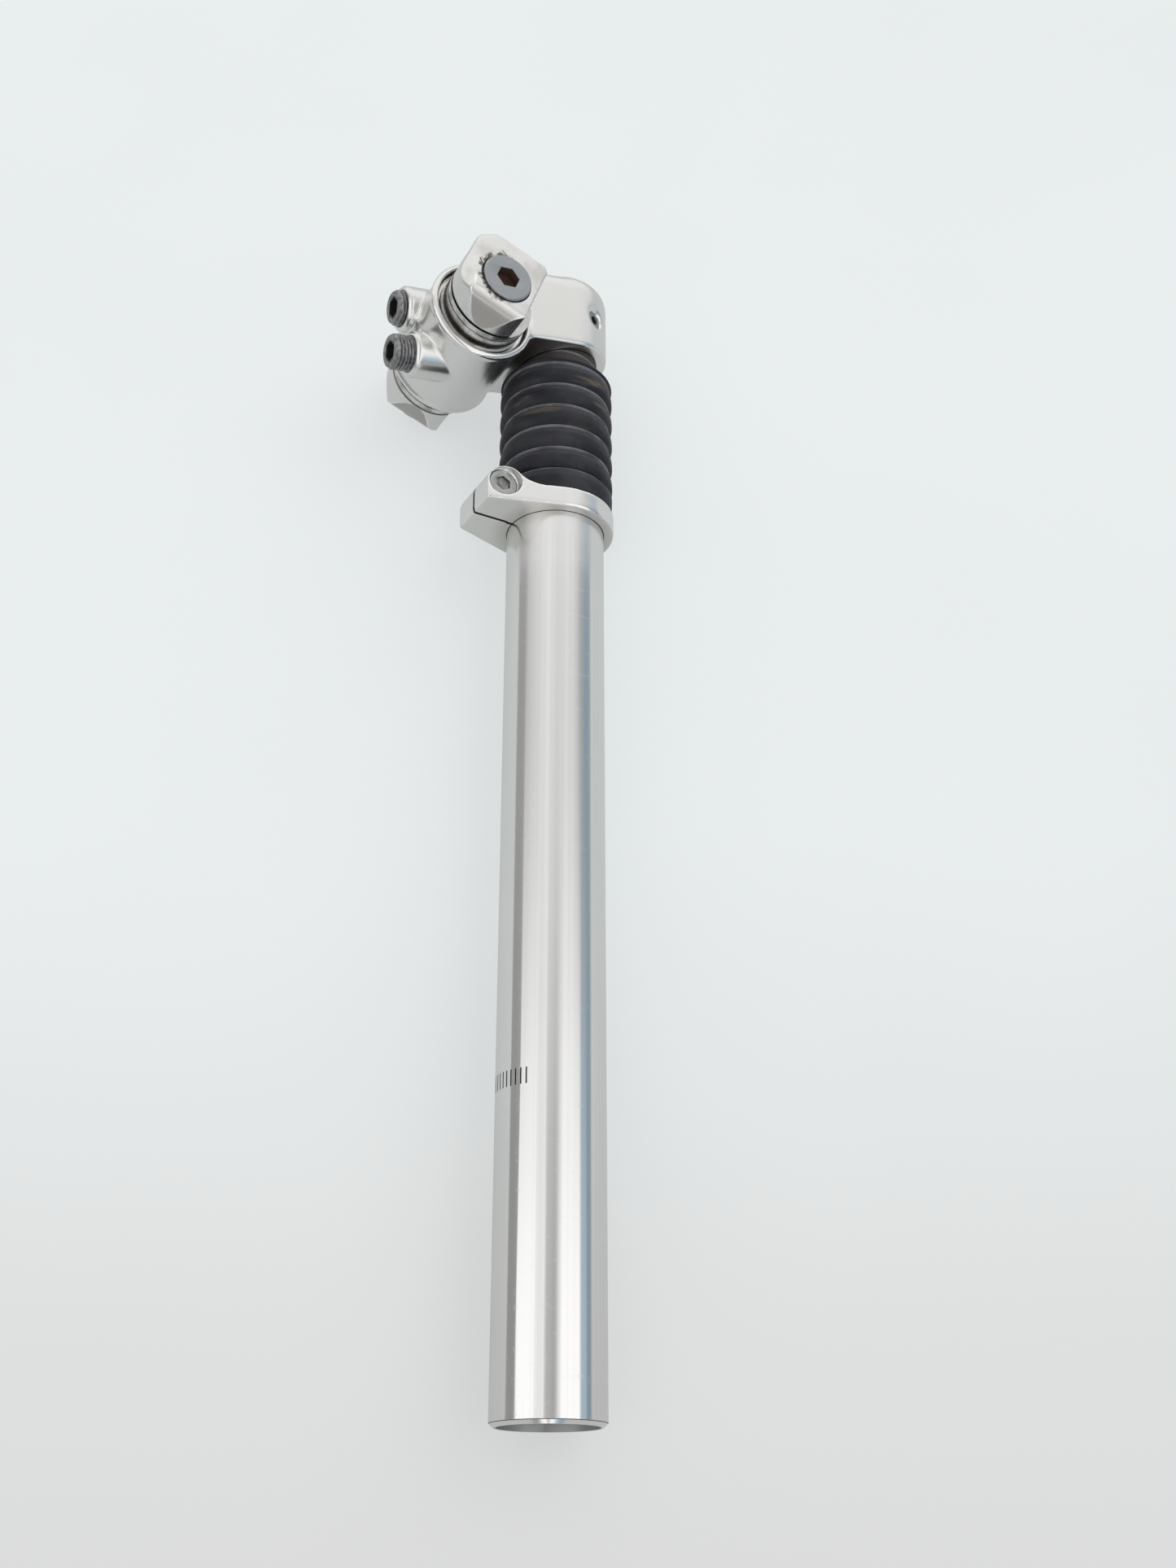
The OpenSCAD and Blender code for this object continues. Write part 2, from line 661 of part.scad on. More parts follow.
// A set screw along the head's -X, n above the barrel's axis
module tilt_screw(n) in_head() translate([0, 0, n]) mirror([1, 0, 0]) {
    tip = tip_reach(n);
    end = tip + tilt_screw_len;
    difference() {
        union() {
            translate([tip + tip_r, 0, 0]) sphere(r = tip_r, $fn = 48);
            bar_x(tilt_screw_r, tip + tip_r, end - tilt_edge);
            translate([end - tilt_edge - EPS, 0, 0]) rotate([0, 90, 0])
                cylinder(r1 = tilt_screw_r, r2 = tilt_screw_r - tilt_edge, h = tilt_edge + EPS);
        }
        translate([end, 0, 0]) rotate([0, 90, 0]) hex_socket(tilt_key, tilt_screw_r);
    }
}

module tilt_screw_upper() color([0.25, 0.25, 0.26]) tilt_screw(tilt_screw_pitch / 2);
module tilt_screw_lower() color([0.25, 0.25, 0.26]) tilt_screw(-tilt_screw_pitch / 2);

// ---- Saddle clamp ----

// Cuts shared by the inner and outer clamps of the left side
module rail_cut() translate([0, rail_y, rail_rise]) bar_x(groove_r, -BIG, BIG);

module inner_clamp() in_clamp() difference() {
    union() {
        bar_y(clamp_r, spindle_y, part_y - part_gap / 2);
        translate([0, spindle_y, 0]) rotate([90, 0, 0])
            cylinder(r = hex_spigot_r, h = hex_spigot_h, $fn = 6);
    }
    bar_y(bolt_hole_r, 0, BIG);
    rail_cut();
    rotate([-90, 0, 0]) ring(clamp_r - rim_groove_w, BIG, rim_groove_y - rim_groove_w / 2,
        rim_groove_y + rim_groove_w / 2);
}

// A chamfer of the outer clamp's top corner at x
module corner_cut(x, size) translate([x, ear_top]) rotate(45)
    square(size * sqrt(2), center = true);

// Section of the outer clamp across the rails: a sloping underside, rounded at its outer end
module ear_section() {
    cy = ear_y - ear_end_r;
    cz = -ear_r + (cy - ear_slope_y) * tan(ear_slope) + ear_end_r / cos(ear_slope);
    polygon([
        [0, -ear_r - OVER],
        [ear_slope_y, -ear_r - OVER],
        [ear_slope_y, -ear_r],
        [cy + ear_end_r * sin(ear_slope), cz - ear_end_r * cos(ear_slope)],
        [cy, cz],
        [ear_y, cz],
        [ear_y, ear_top],
        [0, ear_top]]);
    translate([cy, cz]) circle(r = ear_end_r);
}

module outer_clamp() in_clamp() difference() {
    intersection() {
        across(part_y + part_gap / 2, ear_y) difference() {
            union() {
                circle(r = ear_r);
                translate([-ear_r, 0]) square([ear_r + ear_front, ear_top]);
            }
            translate([ear_front, -BIG]) square([BIG, 2 * BIG]);
            corner_cut(-ear_r, ear_cut_back);
            corner_cut(ear_front, ear_cut_front);
        }
        rotate([90, 0, 90]) translate([0, 0, -BIG]) linear_extrude(2 * BIG) ear_section();
    }
    // Rear flank, falling back from the outer end
    translate([ear_flank.x, ear_y, ear_flank.y]) rotate(ear_flank_turn)
        translate([-BIG, -BIG, 0]) cube(2 * BIG);
    bar_y(bolt_hole_r, 0, BIG);
    bar_y(bolt_head_d / 2 + seat_wall_gap, bolt_seat_y, BIG);
    rail_cut();
    // Lets the rail into the groove from the parting face
    translate([-BIG, 0, rail_rise - groove_r]) cube([2 * BIG, rail_y, 2 * groove_r]);
}

module inner_clamp_left() color([0.74, 0.74, 0.73]) inner_clamp();
module inner_clamp_right() color([0.74, 0.74, 0.73]) mirror([0, 1, 0]) inner_clamp();
module outer_clamp_left() color([0.80, 0.80, 0.79]) outer_clamp();
module outer_clamp_right() color([0.80, 0.80, 0.79]) mirror([0, 1, 0]) outer_clamp();

module clamp_bolt() color([0.50, 0.53, 0.56]) in_clamp() translate([0, -bolt_seat_y, 0])
    rotate([90, 0, 0])
    cap_screw(bolt_d / 2, bolt_seat_y + nut_y - nut_floor - face_gap, bolt_head_d / 2,
        bolt_head_y - bolt_seat_y, bolt_key, bolt_key_depth);

module clamp_nut() color([0.40, 0.42, 0.44]) in_clamp() difference() {
    union() {
        bar_y(bolt_head_d / 2, bolt_seat_y, nut_y - edge);
        translate([0, nut_y - edge, 0]) rotate([-90, 0, 0])
            cylinder(r1 = bolt_head_d / 2, r2 = bolt_head_d / 2 - edge, h = edge);
    }
    bar_y(bolt_d / 2, 0, nut_y - nut_floor);
    translate([0, nut_y, 0]) rotate([-90, 0, 0]) hex_socket(bolt_key, nut_key_depth);
}

outer_tube();
preload_plug();
preload_washer();
main_spring();
spring_seat();
inner_shaft();
lower_slide_bush();
shaft_retaining_ring();
top_out_bumper();
upper_guide_bush();
guide_keys();
bottom_out_bumper();
clamp_collar();
collar_pinch_bolt();
bellows();
seat_head();
head_lock_screw();
clamp_spindle();
inner_clamp_left();
inner_clamp_right();
outer_clamp_left();
outer_clamp_right();
clamp_bolt();
clamp_nut();
tilt_screw_upper();
tilt_screw_lower();
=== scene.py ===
"""Visual model of a suspension seatpost, built around its packed CAD parts."""

import json
import math

import bmesh
import bpy
from bpy.props import FloatProperty, FloatVectorProperty, IntProperty, PointerProperty
from mathutils import Matrix, Vector


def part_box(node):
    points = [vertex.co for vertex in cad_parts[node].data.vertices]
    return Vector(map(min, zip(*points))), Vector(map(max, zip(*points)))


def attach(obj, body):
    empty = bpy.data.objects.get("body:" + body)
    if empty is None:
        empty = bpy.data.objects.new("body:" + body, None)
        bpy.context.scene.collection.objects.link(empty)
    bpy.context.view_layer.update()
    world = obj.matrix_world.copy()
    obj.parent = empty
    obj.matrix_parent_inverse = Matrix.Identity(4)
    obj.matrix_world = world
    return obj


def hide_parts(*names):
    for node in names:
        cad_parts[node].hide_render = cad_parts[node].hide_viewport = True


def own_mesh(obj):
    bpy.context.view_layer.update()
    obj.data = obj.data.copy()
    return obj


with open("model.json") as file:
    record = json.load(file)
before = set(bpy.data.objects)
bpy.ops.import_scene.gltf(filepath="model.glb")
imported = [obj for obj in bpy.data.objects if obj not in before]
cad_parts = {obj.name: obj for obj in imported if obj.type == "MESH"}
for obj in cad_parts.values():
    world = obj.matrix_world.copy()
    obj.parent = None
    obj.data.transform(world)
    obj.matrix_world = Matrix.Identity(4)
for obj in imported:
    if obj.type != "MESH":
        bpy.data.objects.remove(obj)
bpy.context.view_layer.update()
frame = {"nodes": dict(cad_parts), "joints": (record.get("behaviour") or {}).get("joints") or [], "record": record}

bl_info = {
    "name": "Suspension seatpost",
    "version": (1, 0, 0),
    "blender": (4, 5, 0),
    "location": "View3D > Sidebar > Seatpost",
    "description": "Builds a sprung seatpost with its boot, head and saddle clamp",
    "category": "Add Mesh",
}

MM = 0.001
NODES = frame["nodes"]
JOINTS = {joint["name"]: joint for joint in frame["joints"]}


def slant_of(axis):
    """How far an axis leans from the post's front-to-back line, seen from its side."""
    return math.atan2(-axis[2], abs(axis[0]))


# The barrel's centre, and the frames of the head and of the clamp that tilts on it
PIVOT = Vector(JOINTS["saddle_tilt"]["pos_m"])
HEAD_SLANT = slant_of([-part for part in JOINTS["upper_screw_feed"]["axis"]])
RAIL_AXIS = next(mount["axis"] for mount in frame["record"]["mounts"]
                 if mount["name"] == "saddle_rail_left")
CLAMP_SLANT = slant_of(RAIL_AXIS)
HEAD = Matrix.Translation(PIVOT) @ Matrix.Rotation(HEAD_SLANT, 4, "Y")
CLAMP = Matrix.Translation(PIVOT) @ Matrix.Rotation(CLAMP_SLANT, 4, "Y")
ACROSS = Matrix.Rotation(math.radians(90), 4, "X")  # turns a screw about Z to face the right
TRAVEL = -JOINTS["suspension_travel"]["range_m"][0]

SLOT_OF = {part["node"]: part["material_slot"] for part in frame["record"]["subparts"]}
SIDES = 192  # of a large turned piece
SCREW_SIDES = 96  # of a turned screw or nut
REST = "rest_place"  # where a point of a soft piece lies before anything squashes it
WORN = "worn_edge"  # how far a clamp's edge is rubbed bright at a point
STAIN_AND_SHADE = "stained_toe"  # how far the clamp's slanted underside is browned there, partly a real stain and partly painted shade


# ---- Sizes a user may change ----

def length(name, description, mm):
    """A length property whose default is given in millimetres."""
    return FloatProperty(name=name, description=description, default=mm * MM, unit="LENGTH",
                         precision=5)


def colour(name, description, shade):
    """A colour property, as linear red, green and blue."""
    return FloatVectorProperty(name=name, description=description, default=shade,
                               subtype="COLOR", min=0, max=1)


class SeatpostStage(bpy.types.PropertyGroup):
    """Where the post lies, and how it is seen and lit."""
    camera_place: FloatVectorProperty(
        name="Camera place", description="Where the camera stands, in the post's frame",
        default=(-0.19520, -0.37051, -0.03227), subtype="TRANSLATION", unit="LENGTH")
    camera_turn: FloatVectorProperty(
        name="Camera turn", description="Camera rotation about X, Y and Z",
        default=tuple(math.radians(turn) for turn in (114.616, 0.0744, -29.0)),
        subtype="EULER", unit="ROTATION")
    lens: FloatProperty(name="Lens", description="Focal length on a 36 mm sensor, in millimetres",
                        default=40.17)
    floor_colour: colour("Table", "Colour of the table top", (0.80, 0.835, 0.835))
    floor_size: length("Table size", "Side of the square table top", 6000)
    key_strength: FloatProperty(name="Soft light", default=1.0,
                                description="Strength of the soft light from above the table")


class SeatpostBoot(bpy.types.PropertyGroup):
    """The rubber boot over the sliding joint."""
    crest_radius: length("Crest", "Radius at the crests of the folds", 16.2)
    crease_radius: length("Crease", "Radius in the creases between folds", 14.95)
    cuff_low: length("Cuff's lower edge", "Height of the cuff's lower edge", 242.4)
    low_crease: length("Lowest crease", "Height of the crease over the cuff", 248.5)
    top_crease: length("Top crease", "Height of the crease under the shoulder", 284.6)
    folds: IntProperty(name="Folds", description="Number of folds", default=5, min=2, max=9)
    wall: length("Wall", "Thickness of the rubber", 1.2)


class SeatpostClamp(bpy.types.PropertyGroup):
    """The saddle clamp and its bolt."""
    bolt_key: length("Bolt key", "Hexagon of the clamp bolt, across flats", 6)
    bolt_key_depth: length("Bolt key depth", "Depth of the bolt's hexagon", 3)


class SeatpostScrews(bpy.types.PropertyGroup):
    """The small screws."""
    thread_pitch: length("Thread pitch", "Pitch of the set screws' thread", 1.0)
    thread_depth: length("Thread depth", "Depth of the set screws' thread", 0.5)
    tilt_key: length("Set screw key", "Hexagon of the tilt set screws, across flats", 5)
    pinch_sink: length("Pinch sink", "How far the collar's bolt is drawn into its seat", 0.3)
    pinch_key: length("Pinch key", "Hexagon of the collar's bolt, across flats", 4)


class SeatpostFinish(bpy.types.PropertyGroup):
    """Colours of the finishes."""
    alloy: colour("Bare alloy", "Turned and polished aluminium", (0.87, 0.865, 0.85))
    cast_alloy: colour("Forged alloy", "Satin forged aluminium", (0.80, 0.795, 0.775))
    dirt: colour("Grime", "Oily brown grime in corners", (0.045, 0.032, 0.022))
    dust: colour("Dust", "Dry dust on the rubber", (0.11, 0.09, 0.065))
    rubber: colour("Rubber", "Black rubber", (0.0085, 0.009, 0.013))
    bolt: colour("Dull plating", "Blue-grey plating of the clamp bolt", (0.37, 0.385, 0.40))
    zinc: colour("Zinc", "Zinc plating of the pinch bolt", (0.44, 0.45, 0.43))
    oxide: colour("Black oxide", "Black oxide of the set screws", (0.10, 0.10, 0.105))
    rust: colour("Rust", "Rust in the sockets", (0.075, 0.030, 0.016))


GROUPS = {
    "seatpost_stage": SeatpostStage,
    "seatpost_boot": SeatpostBoot,
    "seatpost_clamp": SeatpostClamp,
    "seatpost_screws": SeatpostScrews,
    "seatpost_finish": SeatpostFinish,
}


# ---- Modelling tools ----

def deselect():
    """Leaves edit mode and selects nothing."""
    if bpy.context.object and bpy.context.object.mode != "OBJECT":
        bpy.ops.object.mode_set(mode="OBJECT")
    bpy.ops.object.select_all(action="DESELECT")


def only(piece):
    """Makes a piece the one that operators act on."""
    deselect()
    piece.select_set(True)
    bpy.context.view_layer.objects.active = piece


def added(name):
    """Names the object that a primitive has just made."""
    piece = bpy.context.object
    piece.name = name
    piece.data.name = name
    return piece


def place(piece, matrix):
    """Moves a piece, and puts its place into its mesh."""
    only(piece)
    piece.matrix_world = matrix @ piece.matrix_world
    bpy.ops.object.transform_apply(location=True, rotation=True, scale=True)


def pick(piece, test, kind="verts"):
    """In edit mode, selects just the parts whose test is true."""
    bpy.ops.mesh.select_all(action="DESELECT")
    mesh = bmesh.from_edit_mesh(piece.data)
    for part in getattr(mesh, kind):
        if test(part):
            part.select_set(True)
    mesh.select_flush(True)
    bmesh.update_edit_mesh(piece.data)


def outward(piece):
    """Turns a closed piece's faces outwards."""
    only(piece)
    bpy.ops.object.mode_set(mode="EDIT")
    bpy.ops.mesh.select_all(action="SELECT")
    bpy.ops.mesh.normals_make_consistent(inside=False)
    bpy.ops.object.mode_set(mode="OBJECT")


def arc(centre, radius, start, end, steps):
    """Points on an arc, from one direction in degrees to another."""
    turns = [math.radians(start + (end - start) * step / steps) for step in range(steps + 1)]
    return [(centre[0] + radius * math.cos(turn), centre[1] + radius * math.sin(turn))
            for turn in turns]


def turned(name, outline, sides=SIDES, hollow=False):
    """Turns a piece about Z from its outline: points of radius and height, in metres."""
    deselect()
    start_r, start_z = outline[0]
    bpy.ops.mesh.primitive_circle_add(vertices=sides, radius=start_r, location=(0, 0, start_z))
    piece = added(name)
    bpy.ops.object.mode_set(mode="EDIT")
    bpy.ops.mesh.select_all(action="SELECT")
    for (r0, z0), (r1, z1) in zip(outline, outline[1:]):
        bpy.ops.mesh.extrude_edges_move(TRANSFORM_OT_translate={"value": (0, 0, z1 - z0)})
        if r1 != r0:
            bpy.ops.transform.resize(value=(r1 / r0, r1 / r0, 1), center_override=(0, 0, z1))
    last = sides * (len(outline) - 1)
    if hollow:
        pick(piece, lambda vert: vert.index < sides or vert.index >= last)
        bpy.ops.mesh.bridge_edge_loops()
    else:
        pick(piece, lambda vert: vert.index < sides)
        bpy.ops.mesh.edge_face_add()
        pick(piece, lambda vert: vert.index >= last)
        bpy.ops.mesh.edge_face_add()
    place(piece, Matrix())
    outward(piece)
    return piece


def bar(radius, low, high, matrix):
    """A straight bar about Z, moved to where it cuts or joins."""
    deselect()
    bpy.ops.mesh.primitive_cylinder_add(vertices=SIDES, radius=radius, depth=high - low,
                                        location=(0, 0, (low + high) / 2))
    tool = added("tool")
    place(tool, matrix)
    return tool


def combine(piece, tool, operation="DIFFERENCE"):
    """Cuts a tool from a piece, joins it, or keeps what they share."""
    change = piece.modifiers.new("Combine", "BOOLEAN")
    change.operation = operation
    change.solver = "EXACT"
    change.object = tool
    only(piece)
    bpy.ops.object.modifier_apply(modifier=change.name)
    bpy.data.objects.remove(tool)


def soften(piece, voxel, matrix=Matrix()):
    """Rounds a piece's edges as forging and polishing leave them. The matrix is the frame in
    which its faces lie square."""
    place(piece, matrix.inverted())
    grid = piece.modifiers.new("Grid", "REMESH")
    grid.mode = "VOXEL"
    grid.voxel_size = voxel
    only(piece)
    bpy.ops.object.modifier_apply(modifier=grid.name)
    ease(piece, passes=8)
    place(piece, matrix)


def ease(piece, passes, weight=None):
    """Smooths a piece. A rule may weigh each point, to round some parts more than others."""
    change = piece.modifiers.new("Ease", "SMOOTH")
    change.factor = 0.5
    change.iterations = passes
    if weight:
        share = piece.vertex_groups.new(name="Ease")
        for vert in piece.data.vertices:
            share.add([vert.index], weight(vert.co), "REPLACE")
        change.vertex_group = share.name
    only(piece)
    bpy.ops.object.modifier_apply(modifier=change.name)
    piece.vertex_groups.clear()


def fade(value, start, end):
    """A share that runs from 0 at the start to 1 at the end."""
    return min(max((value - start) / (end - start), 0), 1)


def break_edges(piece, width, limit):
    """Bevels the edges that are sharper than the limit."""
    bevel = piece.modifiers.new("Edges", "BEVEL")
    bevel.width = width
    bevel.segments = 2
    bevel.limit_method = "ANGLE"
    bevel.angle_limit = math.radians(limit)
    bevel.use_clamp_overlap = True
    only(piece)
    bpy.ops.object.modifier_apply(modifier=bevel.name)


def smooth(piece, limit):
    """Smooth shading, with edges sharper than the limit kept."""
    only(piece)
    bpy.ops.object.shade_smooth_by_angle(angle=math.radians(limit))


def keep_places(piece):
    """Stores where each point lies, so that patterns stay on a piece that is squashed."""
    places = [part for vert in piece.data.vertices for part in vert.co]
    stored = piece.data.attributes.new(REST, "FLOAT_VECTOR", "POINT")
    stored.data.foreach_set("vector", places)


def keep_share(piece, name, rule):
    """Stores a share at each point of a piece, by a rule of its place and the way it faces."""
    shares = [rule(vert.co, vert.normal) for vert in piece.data.vertices]
    stored = piece.data.attributes.new(name, "FLOAT", "POINT")
    stored.data.foreach_set("value", shares)


def copy_of(node, name):
    """A merged copy of a CAD part, to shape further."""
    piece = bpy.data.objects.new(name, NODES[node].data.copy())
    bpy.context.collection.objects.link(piece)
    piece.data.name = name
    only(piece)
    bpy.ops.object.mode_set(mode="EDIT")
    bpy.ops.mesh.select_all(action="SELECT")
    bpy.ops.mesh.remove_doubles(threshold=0.002 * MM)
    bpy.ops.object.mode_set(mode="OBJECT")
    return piece


def extent(node, matrix):
    """Lowest and highest corners of a CAD part, measured in another frame."""
    to_frame = matrix.inverted()
    points = [to_frame @ vert.co for vert in NODES[node].data.vertices]
    return (Vector(min(point[axis] for point in points) for axis in range(3)),
            Vector(max(point[axis] for point in points) for axis in range(3)))


def mirrored(piece, name):
    """A copy of a piece on the post's other side."""
    twin = bpy.data.objects.new(name, piece.data.copy())
    bpy.context.collection.objects.link(twin)
    twin.data.name = name
    place(twin, Matrix.Scale(-1, 4, Vector((0, 1, 0))))
    outward(twin)
    return twin


def fit(piece, body, node):
    """Gives a finished piece its body and its finish, and hides the CAD part it stands for."""
    slot = SLOT_OF[node]
    piece.data.materials.clear()
    piece.data.materials.append(finish(slot))
    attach(piece, body)
    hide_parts(node)


# ---- Shader wiring ----

class Wires:
    """Adds shader nodes to a tree and joins their sockets."""

    def __init__(self, tree):
        self.tree = tree

    def add(self, kind, inputs=(), **settings):
        """A node, with its settings, and its sockets given values or joined to others."""
        node = self.tree.nodes.new("ShaderNode" + kind)
        for key, value in settings.items():
            setattr(node, key, value)
        for key, value in dict(inputs).items():
            if isinstance(value, bpy.types.NodeSocket):
                self.tree.links.new(value, node.inputs[key])
            else:
                node.inputs[key].default_value = value
        return node

    def maths(self, operation, first, second=0.0, clamp=False):
        """An operation on one or two values."""
        return self.add("Math", {0: first, 1: second}, operation=operation,
                        use_clamp=clamp).outputs[0]

    def blend(self, factor, first, second):
        """A mix of two colours."""
        return self.add("Mix", {0: factor, 6: first, 7: second}, data_type="RGBA").outputs[2]

    def remap(self, value, from_low, from_high, to_low=0.0, to_high=1.0):
        """A value carried softly from one range to another."""
        return self.add("MapRange", {"Value": value, "From Min": from_low, "From Max": from_high,
                                     "To Min": to_low, "To Max": to_high},
                        interpolation_type="SMOOTHSTEP").outputs[0]

    def noise(self, vector, scale, detail=2.0, roughness=0.5):
        """Soft random values between 0 and 1."""
        return self.add("TexNoise", {"Vector": vector, "Scale": scale, "Detail": detail,
                                     "Roughness": roughness}).outputs["Fac"]

    def stretch(self, vector, scale=(1, 1, 1), turn=(0, 0, 0)):
        """Coordinates that are scaled and turned."""
        return self.add("Mapping", {"Vector": vector, "Scale": scale,
                                    "Rotation": turn}).outputs[0]

    def group(self, tree, inputs):
        """A shared effect's outputs, for its own values."""
        return self.add("Group", inputs, node_tree=tree).outputs

    def times(self, first, second):
        """The product of two values."""
        return self.maths("MULTIPLY", first, second)

    def raised(self, value, mask, share):
        """A value raised by a share where a mask is full."""
        return self.maths("ADD", value, self.times(mask, share))

    def coat(self, tone, mask, share, shade):
        """A colour partly covered by another where a mask is full."""
        return self.blend(self.times(mask, share), tone, shade)


# ---- Effects that several finishes share ----

def effect(name, inputs, outputs, build):
    """A shader node group, made once. Its sockets are given as name: kind and default."""
    if name in bpy.data.node_groups:
        return bpy.data.node_groups[name]
    tree = bpy.data.node_groups.new(name, "ShaderNodeTree")
    for label, default in inputs.items():
        kind = "NodeSocketVector" if default is None else "NodeSocketFloat"
        socket = tree.interface.new_socket(name=label, in_out="INPUT", socket_type=kind)
        if default is not None:
            socket.default_value = default
    for label in outputs:
        tree.interface.new_socket(name=label, in_out="OUTPUT", socket_type="NodeSocketFloat")
    wires = Wires(tree)
    ends = (tree.nodes.new("NodeGroupInput"), tree.nodes.new("NodeGroupOutput"))
    made = build(wires, ends[0].outputs)
    for label, value in zip(outputs, made):
        tree.links.new(value, ends[1].inputs[label])
    return tree


def scratches():
    """Thin straight scratches in three directions."""
    def build(wires, given):
        marks = None
        for turn in ((0.2, 0.5, 0.3), (1.4, 0.2, 1.1), (0.7, 1.3, 2.2)):
            lines = wires.stretch(given["Vector"], scale=(1, 28, 28), turn=turn)
            found = wires.noise(lines, given["Scale"], detail=1.5)
            mark = wires.remap(found, 0.66, 0.74)
            marks = mark if marks is None else wires.maths("MAXIMUM", marks, mark)
        return (wires.maths("MULTIPLY", marks, given["Amount"], clamp=True),)
    return effect("Scratches", {"Vector": None, "Scale": 60.0, "Amount": 1.0}, ["Mask"], build)


def edge_wear():
    """Bright rubbed edges, broken up so that they aren't even."""
    def build(wires, given):
        point = wires.add("NewGeometry").outputs["Pointiness"]
        ridge = wires.remap(point, given["Start"], given["Full"])
        patches = wires.remap(wires.noise(given["Vector"], 900.0, 3.0), 0.35, 0.6, 0.35, 1.0)
        return (wires.maths("MULTIPLY", ridge, patches, clamp=True),)
    return effect("Edge wear", {"Vector": None, "Start": 0.51, "Full": 0.56}, ["Mask"], build)


def grime():
    """Dirt that gathers in patches made of specks."""
    def build(wires, given):
        patches = wires.noise(given["Vector"], given["Scale"], 3.0)
        specks = wires.noise(given["Vector"], wires.times(given["Scale"], 9.0), 4.0, 0.65)
        level = wires.maths("ADD", wires.times(patches, 0.6), wires.times(specks, 0.4))
        need = wires.maths("SUBTRACT", 0.78, wires.times(given["Amount"], 0.5))
        full = wires.maths("ADD", need, 0.09)
        return (wires.remap(level, need, full),)
    return effect("Grime", {"Vector": None, "Scale": 300.0, "Amount": 0.4}, ["Mask"], build)


def turning_lines():
    """Fine lines left by a lathe, as heights along the turned axis."""
    def build(wires, given):
        along = wires.add("CombineXYZ", {"Z": given["Along"]}).outputs[0]
        fine = wires.noise(along, wires.maths("DIVIDE", 1.0, given["Spacing"]), 4.0, 0.7)
        broad = wires.noise(along, wires.maths("DIVIDE", 0.08, given["Spacing"]), 2.0)
        lines = wires.maths("ADD", wires.times(fine, 0.7), wires.times(broad, 0.3))
        return (lines,)
    return effect("Turning lines", {"Along": 0.0, "Spacing": 0.0003}, ["Height"], build)


def round_axis():
    """How far a point is from an axis, and how far along it."""
    def build(wires, given):
        offset = wires.add("VectorMath", {0: given["Vector"], 1: given["Centre"]},
                           operation="SUBTRACT").outputs[0]
        along = wires.add("VectorMath", {0: offset, 1: given["Axis"]},
                          operation="DOT_PRODUCT").outputs["Value"]
        across = wires.add("VectorMath", {0: offset, 1: given["Axis"]},
                           operation="CROSS_PRODUCT").outputs[0]
        reach = wires.add("VectorMath", {0: across}, operation="LENGTH").outputs["Value"]
        return (reach, along)
    return effect("Round an axis", {"Vector": None, "Centre": None, "Axis": None},
                  ["Reach", "Along"], build)


def about(wires, spot, centre, axis):
    """A point's distance from an axis, and its place along it."""
    made = wires.group(round_axis(), {"Vector": spot, "Centre": centre, "Axis": axis})
    return made["Reach"], made["Along"]


def about_post(wires, spot):
    """A point's distance from the post's axis, and its height."""
    return about(wires, spot, (0, 0, 0), (0, 0, 1))


def about_barrel(wires, spot):
    """A point's distance from the barrel's axis, and its distance to either side."""
    reach, along = about(wires, spot, tuple(PIVOT), (0, 1, 0))
    return reach, wires.maths("ABSOLUTE", along)


# ---- Finishes ----

FINISHES = {}


def finish_rule(slot):
    """Marks a function as the one that wires a finish."""
    def mark(rule):
        FINISHES[slot] = rule
        return rule
    return mark


def finish(slot):
    """The material of a slot, made when it is first asked for."""
    name = slot.replace("_", " ").capitalize()
    if name in bpy.data.materials:
        return bpy.data.materials[name]
    material = bpy.data.materials.new(name)
    material.use_nodes = True
    material.node_tree.nodes.clear()
    wires = Wires(material.node_tree)
    shader = wires.add("BsdfPrincipled")
    output = wires.add("OutputMaterial")
    material.node_tree.links.new(shader.outputs[0], output.inputs["Surface"])
    spot = wires.add("TexCoord").outputs["Object"]
    colours = bpy.context.scene.seatpost_finish
    for key, value in FINISHES[slot](wires, spot, colours).items():
        if isinstance(value, bpy.types.NodeSocket):
            material.node_tree.links.new(value, shader.inputs[key])
        else:
            shader.inputs[key].default_value = value
    return material


def flat(shade):
    """A colour property as a socket value."""
    return (*shade, 1.0)


def bump(wires, height, depth, normal=None):
    """A normal raised by a height, whose full depth is in metres."""
    inputs = {"Height": height, "Distance": depth, "Strength": 1.0}
    if normal is not None:
        inputs["Normal"] = normal
    return wires.add("Bump", inputs).outputs[0]


